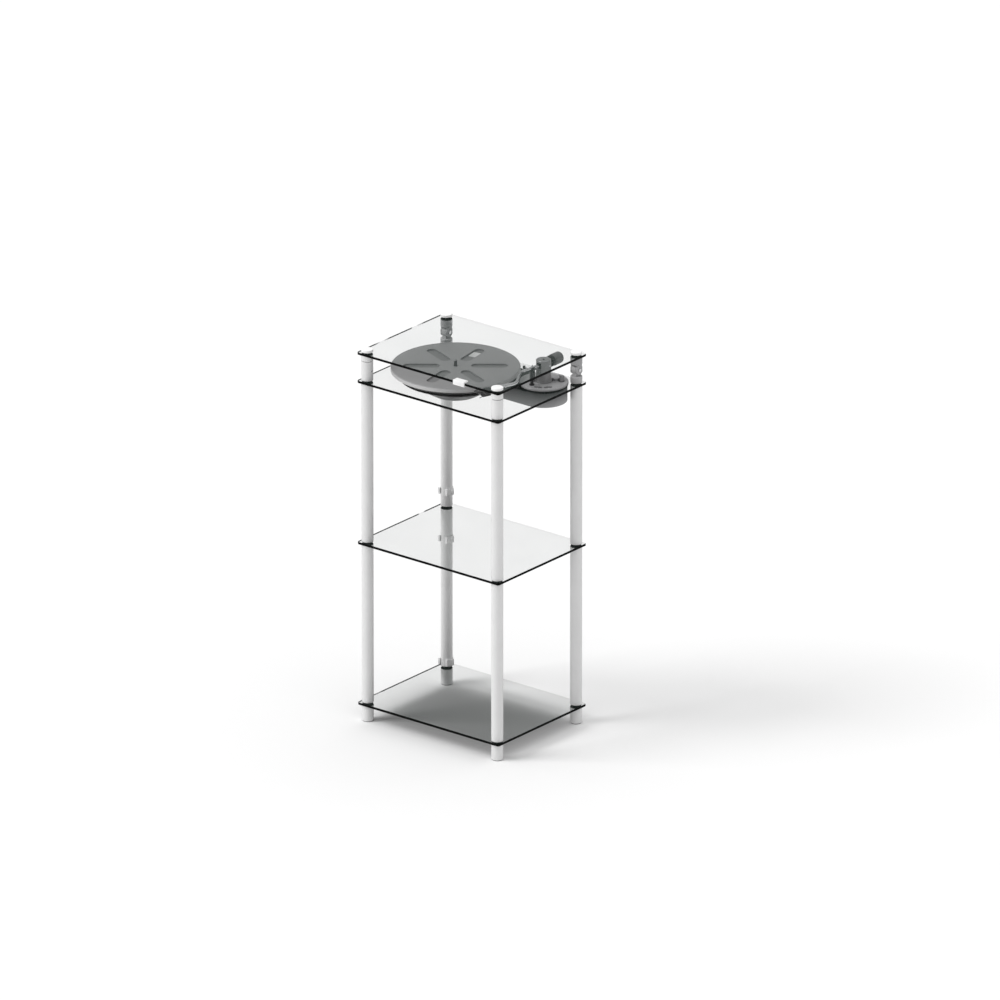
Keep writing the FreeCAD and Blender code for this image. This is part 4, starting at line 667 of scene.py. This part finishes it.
CARTRIDGE_LENGTH = 27.0 * MM
CARTRIDGE_PITCH = 12.7 * MM
CARTRIDGE_SCREW = {"head": 2.2 * MM, "height": 1.3 * MM, "socket": 0.9 * MM, "shank": 1.1 * MM}
PIN_COUNT = 4
PIN_SPACING = 3.2 * MM
PIN_LENGTH = 4.0 * MM
PIN_RADIUS = 0.6 * MM
PIN_STEPS = 12
INDEX_LENGTH = 6.0 * MM
INDEX_SETBACK = 1.0 * MM
KNURL_COUNT = 30
KNURL_WIDTH = 0.8 * MM
KNURL_RISE = 0.25 * MM
KNURL_LENGTH = 6.0 * MM
ARM_TUBE_RADIUS = 4.0 * MM
COLLAR_SETBACK = 7.2 * MM
COLLAR_WIDTH = 2.4 * MM
COLLAR_RISE = 0.9 * MM


def headshell_frame():
    """A frame at the shell's underside over the cartridge, its Y to the nose, and that heading."""
    nut, body = middle("headshell_nut"), middle("cartridge")
    heading = Vector((body.x - nut.x, body.y - nut.y, 0.0)).normalized()
    turn = math.atan2(heading.y, heading.x) - QUARTER_TURN
    return at(body.x, body.y, top("cartridge")) @ turned_by(turn), heading


def detail_headshell(materials):
    place, heading = headshell_frame()
    shell_top = 2 * (middle("headshell").z - top("cartridge"))
    shape = bmesh.new()
    for side in (-1, 1):
        seat = place @ at(side * CARTRIDGE_PITCH / 2, 0.0, shell_top)
        socket_screw(shape, seat, length=shell_top + SEAT, **CARTRIDGE_SCREW)
    make_piece("cartridge_screws", shape, materials, "steel", "arm")

    pin_level = middle("cartridge").z - top("cartridge")
    profile = [(0.0, 0.0), (PIN_RADIUS, 0.0), (PIN_RADIUS, PIN_LENGTH), (0.0, PIN_LENGTH)]
    shape = bmesh.new()
    for index in range(PIN_COUNT):
        across = (index - (PIN_COUNT - 1) / 2) * PIN_SPACING
        origin = place @ Vector((across, SEAT - CARTRIDGE_LENGTH / 2, pin_level))
        lathe(shape, profile, pointing(origin, -heading), PIN_STEPS)
    make_piece("cartridge_pins", shape, materials, "brass", "arm")

    shape = bmesh.new()
    start = CARTRIDGE_LENGTH / 2 - INDEX_SETBACK
    along = place @ at(0.0, 0.0, shell_top) @ turned_by(QUARTER_TURN)
    tick(shape, start, start + INDEX_LENGTH, PRINT_LINE, along)
    make_piece("headshell_index_line", shape, materials, "cap_white", "arm")

    low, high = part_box("headshell_nut")
    radius, centre = (high.z - low.z) / 2, middle("headshell_nut")
    root, crest, half = radius - SEAT, radius + KNURL_RISE, KNURL_WIDTH / 2
    shape = bmesh.new()
    for index in range(KNURL_COUNT):
        ridge = pointing(centre, heading) @ turned_by(FULL_TURN * index / KNURL_COUNT)
        outline = [(root, -half), (crest, 0.0), (root, half)]
        slab(shape, outline, -KNURL_LENGTH / 2, KNURL_LENGTH / 2, ridge)
    make_piece("nut_knurl", shape, materials, "arm_silver", "headshell_nut")

    inner, outer, half = ARM_TUBE_RADIUS - SEAT, ARM_TUBE_RADIUS + COLLAR_RISE, COLLAR_WIDTH / 2
    profile = [(inner, -half), (outer, -half), (outer, half), (inner, half)]
    shape = bmesh.new()
    collar = pointing(centre - heading * COLLAR_SETBACK, heading)
    lathe(shape, profile, collar, SMALL_STEPS, closed=True)
    make_piece("arm_tube_collar", shape, materials, "arm_black", "arm")


# Arm yoke: a ring and a screw on its top, and pivot caps at its sides

YOKE_RIM_SETBACK = 1.0 * MM
YOKE_RIM_WIDTH = 0.9 * MM
YOKE_RIM_RISE = 0.25 * MM
YOKE_RIM_STEPS = 96
YOKE_SCREW = {"head": 2.6 * MM, "height": 0.8 * MM, "socket": 1.3 * MM}
PIVOT_CAP = {"head": 3.0 * MM, "height": 0.9 * MM, "socket": 1.1 * MM}


def detail_yoke(materials):
    low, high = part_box("arm_yoke")
    axis, radius = middle("arm_yoke"), (high.x - low.x) / 2
    roof = at(axis.x, axis.y, high.z)
    shape = bmesh.new()
    rim = radius - YOKE_RIM_SETBACK
    washer(shape, rim - YOKE_RIM_WIDTH, rim, YOKE_RIM_RISE, roof, EASED_EDGE, YOKE_RIM_STEPS)
    make_piece("yoke_top_ring", shape, materials, "knob_silver", "arm_swing")

    shape = bmesh.new()
    socket_screw(shape, roof, **YOKE_SCREW)
    make_piece("yoke_top_screw", shape, materials, "arm_black", "arm_swing")

    pivot_level = middle("gimbal_pin").z
    shape = bmesh.new()
    for side in (-1, 1):
        seat = Vector((axis.x + side * radius, axis.y, pivot_level))
        socket_screw(shape, pointing(seat, (side, 0.0, 0.0)), **PIVOT_CAP)
    make_piece("pivot_caps", shape, materials, "steel", "arm_swing")


# Tracking dial and counterweight: a plain scale and an end ring

DIAL_TICKS = 20
DIAL_TICKS_PER_NUMBER = 5
DIAL_TICK_SETBACK = 1.6 * MM
DIAL_TICK_LENGTHS = (2.4 * MM, 1.4 * MM)  # at a number, and between two
DIAL_NUMBERS = ("0", "1", "2", "3")
DIAL_NUMBER_SIZE = 3.4 * MM
DIAL_NUMBER_SETBACK = 6.2 * MM
WEIGHT_RING_SHARE = 0.42
WEIGHT_RING_WIDTH = 0.7 * MM
WEIGHT_RING_RISE = 0.2 * MM


def detail_counterweight(materials):
    low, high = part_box("tracking_dial")
    centre, radius = middle("tracking_dial"), (high.z - low.z) / 2
    face = pointing(Vector((centre.x, low.y, centre.z)), (0.0, -1.0, 0.0))
    shape = bmesh.new()
    reach = radius - DIAL_TICK_SETBACK
    for index in range(DIAL_TICKS):
        length = DIAL_TICK_LENGTHS[index % DIAL_TICKS_PER_NUMBER > 0]
        place = face @ turned_by(FULL_TURN * index / DIAL_TICKS)
        tick(shape, reach - length, reach, TICK_WIDTH, place)
    for index, text in enumerate(DIAL_NUMBERS):
        turn = QUARTER_TURN - index * QUARTER_TURN
        place = face @ at(*polar(radius - DIAL_NUMBER_SETBACK, turn)) @ turned_by(turn - QUARTER_TURN)
        numeral(shape, text, DIAL_NUMBER_SIZE, place)
    make_piece("tracking_scale", shape, materials, "cap_white", "tracking_dial")

    low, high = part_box("counterweight")
    centre, radius = middle("counterweight"), (high.z - low.z) / 2
    back = pointing(Vector((centre.x, high.y, centre.z)), (0.0, 1.0, 0.0))
    shape = bmesh.new()
    inner = WEIGHT_RING_SHARE * radius
    washer(shape, inner, inner + WEIGHT_RING_WIDTH, WEIGHT_RING_RISE, back)
    make_piece("counterweight_end_ring", shape, materials, "knob_silver", "counterweight")


# Arm base: rings, screw sockets, the skating dial's scale, bezels, lamps and numbers

COVER_LINE_REACHES = (52.6 * MM, 54.4 * MM)
COVER_LINE_STEPS = 120
COVER_SCREW_COUNT = 3
COVER_SCREW_RADIUS = 3.5 * MM
COVER_SCREW_REACH = 44.0 * MM
COVER_SOCKET_RADIUS = 1.7 * MM
HEXAGON = 6


def detail_cover(materials):
    pod, level = middle("arm_cover"), top("arm_cover")
    place = at(pod.x, pod.y, level)
    shape = bmesh.new()
    for reach in COVER_LINE_REACHES:
        washer(shape, reach, reach + PRINT_LINE, PRINT_HEIGHT, place, PRINT_EDGE, COVER_LINE_STEPS)
    make_piece("cover_lines", shape, materials, "knob_silver", "root")

    turns = [FULL_TURN * index / HEXAGON for index in range(HEXAGON)]
    hexagon = [tuple(polar(COVER_SOCKET_RADIUS, turn).xy) for turn in turns]
    shape = bmesh.new()
    for x, y in screw_places():
        slab(shape, hexagon, -SEAT, PRINT_HEIGHT, at(x, y, top("cover_screws")))
    make_piece("cover_screw_sockets", shape, materials, "arm_black", "root")


def screw_places():
    """The cover screws' axes: evenly round the pod, one of them at the box's right end."""
    pod = middle("arm_cover")
    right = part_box("cover_screws")[1].x - COVER_SCREW_RADIUS - pod.x
    start = math.acos(right / COVER_SCREW_REACH)
    turns = [start + FULL_TURN * index / COVER_SCREW_COUNT for index in range(COVER_SCREW_COUNT)]
    return [(pod + polar(COVER_SCREW_REACH, turn)).xy for turn in turns]


SKATE_START = math.radians(75.0)
SKATE_SWEEP = math.radians(195.0)
SKATE_TICKS = 13
SKATE_TICKS_PER_NUMBER = 4
SKATE_TICK_GAP = 1.0 * MM
SKATE_TICK_LENGTHS = (2.2 * MM, 1.3 * MM)  # at a number, and between two
SKATE_NUMBERS = ("3", "2", "1", "0")
SKATE_NUMBER_SIZE = 3.2 * MM
SKATE_NUMBER_GAP = 5.2 * MM
SKATE_SETTING = 0.4
SKATE_INDEX_SHARES = (0.45, 0.85)
SKATE_INDEX_WIDTH = 0.6 * MM


def detail_skating_dial(materials):
    low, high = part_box("anti_skate_knob")
    knob, radius = middle("anti_skate_knob"), (high.x - low.x) / 2
    base = at(knob.x, knob.y, top("arm_cover"))
    start = radius + SKATE_TICK_GAP
    shape = bmesh.new()
    for index in range(SKATE_TICKS):
        turn = SKATE_START + SKATE_SWEEP * index / (SKATE_TICKS - 1)
        length = SKATE_TICK_LENGTHS[index % SKATE_TICKS_PER_NUMBER > 0]
        tick(shape, start, start + length, TICK_WIDTH, base @ turned_by(turn))
    for index, text in enumerate(SKATE_NUMBERS):
        turn = SKATE_START + SKATE_SWEEP * index / (len(SKATE_NUMBERS) - 1)
        numeral(shape, text, SKATE_NUMBER_SIZE, base @ at(*polar(radius + SKATE_NUMBER_GAP, turn)))
    make_piece("skating_scale", shape, materials, "arm_black", "root")

    shape = bmesh.new()
    start, end = (share * radius for share in SKATE_INDEX_SHARES)
    place = at(knob.x, knob.y, high.z) @ turned_by(SKATE_START + SKATE_SETTING * SKATE_SWEEP)
    tick(shape, start, end, SKATE_INDEX_WIDTH, place)
    make_piece("skating_index", shape, materials, "arm_black", "anti_skate_knob")


SPEED_NUMBERS = {"speed_button_near": "33", "speed_button_far": "45"}
SPEED_NUMBER_SIZE = 4.4 * MM
SPEED_NUMBER_SETBACK = 7.4 * MM
SPEED_BUTTON_LENGTH = 17.0 * MM
SPEED_BUTTON_WIDTH = 4.4 * MM
SPEED_LINE_SHARE = 0.55
SPEED_LINE_STEPS = 4
BEZEL_GAP = 0.8 * MM
BEZEL_WIDTH = 0.9 * MM
BEZEL_RISE = 0.35 * MM
LAMP_REACH = 5.6 * MM
LAMP_RADII = (0.4 * MM, 1.0 * MM)
LAMP_RISE = 0.3 * MM
LAMP_STEPS = 16
POWER_RADIUS = 5.0 * MM
POWER_BEZEL_GAP = 0.6 * MM
POWER_BEZEL_WIDTH = 1.6 * MM
POWER_BEZEL_RISE = 0.6 * MM
POWER_RING_SHARE = 0.62
POWER_DOT_RADIUS = 0.8 * MM
POWER_DOT_STEPS = 16


def detail_buttons(materials):
    pod, level = middle("arm_cover"), top("arm_cover")
    bezels, lamps, marks = bmesh.new(), bmesh.new(), bmesh.new()
    length, width = SPEED_BUTTON_LENGTH + BEZEL_GAP, SPEED_BUTTON_WIDTH + BEZEL_GAP
    line = bar_outline(SPEED_LINE_SHARE * SPEED_BUTTON_LENGTH, PRINT_LINE, SPEED_LINE_STEPS)
    for node, text in SPEED_NUMBERS.items():
        centre = middle(node)
        outward = Vector((centre.x - pod.x, centre.y - pod.y, 0.0)).normalized()
        turn = math.atan2(outward.y, outward.x)
        base = at(centre.x, centre.y, level)
        bar_frame(bezels, length, width, BEZEL_WIDTH, BEZEL_RISE, base @ turned_by(turn))
        number_place = base @ at(*(-outward * SPEED_NUMBER_SETBACK)) @ turned_by(turn + QUARTER_TURN)
        numeral(marks, text, SPEED_NUMBER_SIZE, number_place)
        lamp_place = base @ turned_by(turn) @ at(LAMP_REACH, 0.0, 0.0)
        washer(lamps, *LAMP_RADII, LAMP_RISE, lamp_place, EASED_EDGE, LAMP_STEPS)
        shape = bmesh.new()
        slab(shape, line, -SEAT, PRINT_HEIGHT, at(centre.x, centre.y, top(node)) @ turned_by(turn))
        make_piece(node + "_line", shape, materials, "arm_black", node)

    centre = middle("power_button")
    inner = POWER_RADIUS + POWER_BEZEL_GAP
    base = at(centre.x, centre.y, level)
    washer(bezels, inner, inner + POWER_BEZEL_WIDTH, POWER_BEZEL_RISE, base)
    make_piece("button_bezels", bezels, materials, "arm_black", "root")
    make_piece("speed_lamps", lamps, materials, "cap_white", "root")
    make_piece("speed_numbers", marks, materials, "arm_black", "root")

    shape = bmesh.new()
    place = at(centre.x, centre.y, top("power_button"))
    inner = POWER_RING_SHARE * POWER_RADIUS
    washer(shape, inner, inner + PRINT_LINE, PRINT_HEIGHT, place, PRINT_EDGE)
    profile = [(0.0, -SEAT), (POWER_DOT_RADIUS, -SEAT), (POWER_DOT_RADIUS, PRINT_HEIGHT)]
    lathe(shape, profile + [(0.0, PRINT_HEIGHT)], place, POWER_DOT_STEPS)
    make_piece("power_button_mark", shape, materials, "cap_white", "power_button")


# Stand: set screws that hold the post tops, the collars and the hinges

POST_RADIUS = 14.0 * MM
SET_SCREW = {"head": 2.0 * MM, "height": 0.25 * MM, "socket": 1.0 * MM}

# Each piece, the node that carries it, its body, and how far up the node it sits
SET_SCREWS = (
    ("post_top_screws", "front_post_tops", "root", 0.5),
    ("collar_screws", "lid_collars", "lid", 0.5),
    ("hinge_base_screws", "hinge_bases", "root", 0.2),
    ("hinge_head_screws", "hinge_heads", "lid", 0.9),
)


def detail_set_screws(materials):
    """A small socket screw in the inward face of each post top, collar and hinge part."""
    for name, node, body, share in SET_SCREWS:
        low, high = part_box(node)
        level = low.z + share * (high.z - low.z)
        shape = bmesh.new()
        for x, y in post_axes():
            if not low.y < y < high.y:
                continue
            inward = Vector((-math.copysign(1.0, x), 0.0, 0.0))
            seat = Vector((x, y, level)) + inward * POST_RADIUS
            socket_screw(shape, pointing(seat, inward), **SET_SCREW)
        make_piece(name, shape, materials, "steel", body)


def post_axes():
    axes = []
    for end in ("front", "rear"):
        for side in ("left", "right"):
            axes.append(middle(f"upper_post_{end}_{side}").xy)
    return axes


def add_details(materials):
    detail_platter(materials)
    detail_headshell(materials)
    detail_yoke(materials)
    detail_counterweight(materials)
    detail_cover(materials)
    detail_skating_dial(materials)
    detail_buttons(materials)
    detail_set_screws(materials)


# Studio

PHOTO_MM_PER_PX = 1.0 / 0.4315
PHOTO_SIDE_PX = 1000
CAMERA_AZIMUTH = math.radians(38.82)
CAMERA_ELEVATION = math.radians(21.55)
PICTURE_CENTRE_RIGHT = 65.1 * MM
PICTURE_CENTRE_UP = 512.4 * MM
HANDLE_SETBACK = 1.5 * MM
LENS_MM = 1000.0
SENSOR_MM = 36.0
CLIP_START = 1.0
CLIP_PER_DISTANCE = 4.0

SUN_HEADING = (0.65, 0.76)
SUN_ELEVATION = math.radians(45.0)
SUN_SPREAD = math.radians(24.0)
SUN_STRENGTH = 1.45
SKY_HORIZON = 0.25
SKY_ZENITH = 1.08
FLOOR_COLOUR = (0.92, 0.92, 0.92)
FLOOR_ROUGHNESS = 0.9
FLOOR_SIDE = 60.0


def make_camera():
    """A very long lens from the photograph's direction."""
    data = bpy.data.cameras.new("camera")
    data.lens = LENS_MM
    data.sensor_width = SENSOR_MM
    camera = bpy.data.objects.new("camera", data)
    bpy.context.scene.collection.objects.link(camera)
    azimuth, rise = CAMERA_AZIMUTH, CAMERA_ELEVATION
    right = Vector((math.cos(azimuth), math.sin(azimuth), 0.0))
    flat = Vector((math.sin(azimuth), -math.cos(azimuth), 0.0))
    back = flat * math.cos(rise) + Vector((0.0, 0.0, math.sin(rise)))
    up = back.cross(right)
    middle_y = (frame_box[0].y + frame_box[1].y) / 2
    setback = Vector((0.0, middle_y + HANDLE_SETBACK, 0.0))
    target = setback + right * PICTURE_CENTRE_RIGHT + up * PICTURE_CENTRE_UP
    distance = PHOTO_SIDE_PX * PHOTO_MM_PER_PX * MM * LENS_MM / SENSOR_MM
    camera.location = target + back * distance
    camera.rotation_mode = "QUATERNION"
    camera.rotation_quaternion = (-back).to_track_quat("-Z", "Y")
    data.clip_start = CLIP_START
    data.clip_end = CLIP_PER_DISTANCE * distance
    bpy.context.scene.camera = camera


def make_studio():
    """A broad soft key light from the front left, a white sky and a pale floor."""
    make_key()
    make_sky()
    make_floor()
    bpy.context.scene.view_settings.view_transform = "Standard"
    bpy.context.scene.view_settings.look = "None"


def make_key():
    sun = bpy.data.lights.new("key", "SUN")
    sun.energy = SUN_STRENGTH
    sun.angle = SUN_SPREAD
    key = bpy.data.objects.new("key", sun)
    heading = Vector((*SUN_HEADING, 0.0)).normalized() * math.cos(SUN_ELEVATION)
    heading.z = -math.sin(SUN_ELEVATION)
    key.rotation_mode = "QUATERNION"
    key.rotation_quaternion = heading.to_track_quat("-Z", "Y")
    bpy.context.scene.collection.objects.link(key)


def make_sky():
    """White light that grows from the horizon to the zenith."""
    world = bpy.data.worlds.new("sky")
    bpy.context.scene.world = world
    world.use_nodes = True
    nodes, links = world.node_tree.nodes, world.node_tree.links
    split = nodes.new("ShaderNodeSeparateXYZ")
    links.new(nodes.new("ShaderNodeTexCoord").outputs["Generated"], split.inputs["Vector"])
    ramp = nodes.new("ShaderNodeMapRange")
    links.new(split.outputs["Z"], ramp.inputs["Value"])
    ramp.inputs["To Min"].default_value = SKY_HORIZON
    ramp.inputs["To Max"].default_value = SKY_ZENITH
    nodes["Background"].inputs["Color"].default_value = (1.0, 1.0, 1.0, 1.0)
    links.new(ramp.outputs["Result"], nodes["Background"].inputs["Strength"])


def make_floor():
    half = FLOOR_SIDE / 2
    mesh = bpy.data.meshes.new("floor")
    corners = [(-half, -half, 0.0), (half, -half, 0.0), (half, half, 0.0), (-half, half, 0.0)]
    mesh.from_pydata(corners, [], [(0, 1, 2, 3)])
    floor = bpy.data.objects.new("floor", mesh)
    bpy.context.scene.collection.objects.link(floor)
    paper = Surface("floor", FLOOR_COLOUR, FLOOR_ROUGHNESS)
    paper.shader.inputs["Specular IOR Level"].default_value = 0.0
    mesh.materials.append(paper.material)


finishes = make_materials()
dress_nodes(finishes)
add_details(finishes)
make_camera()
make_studio()
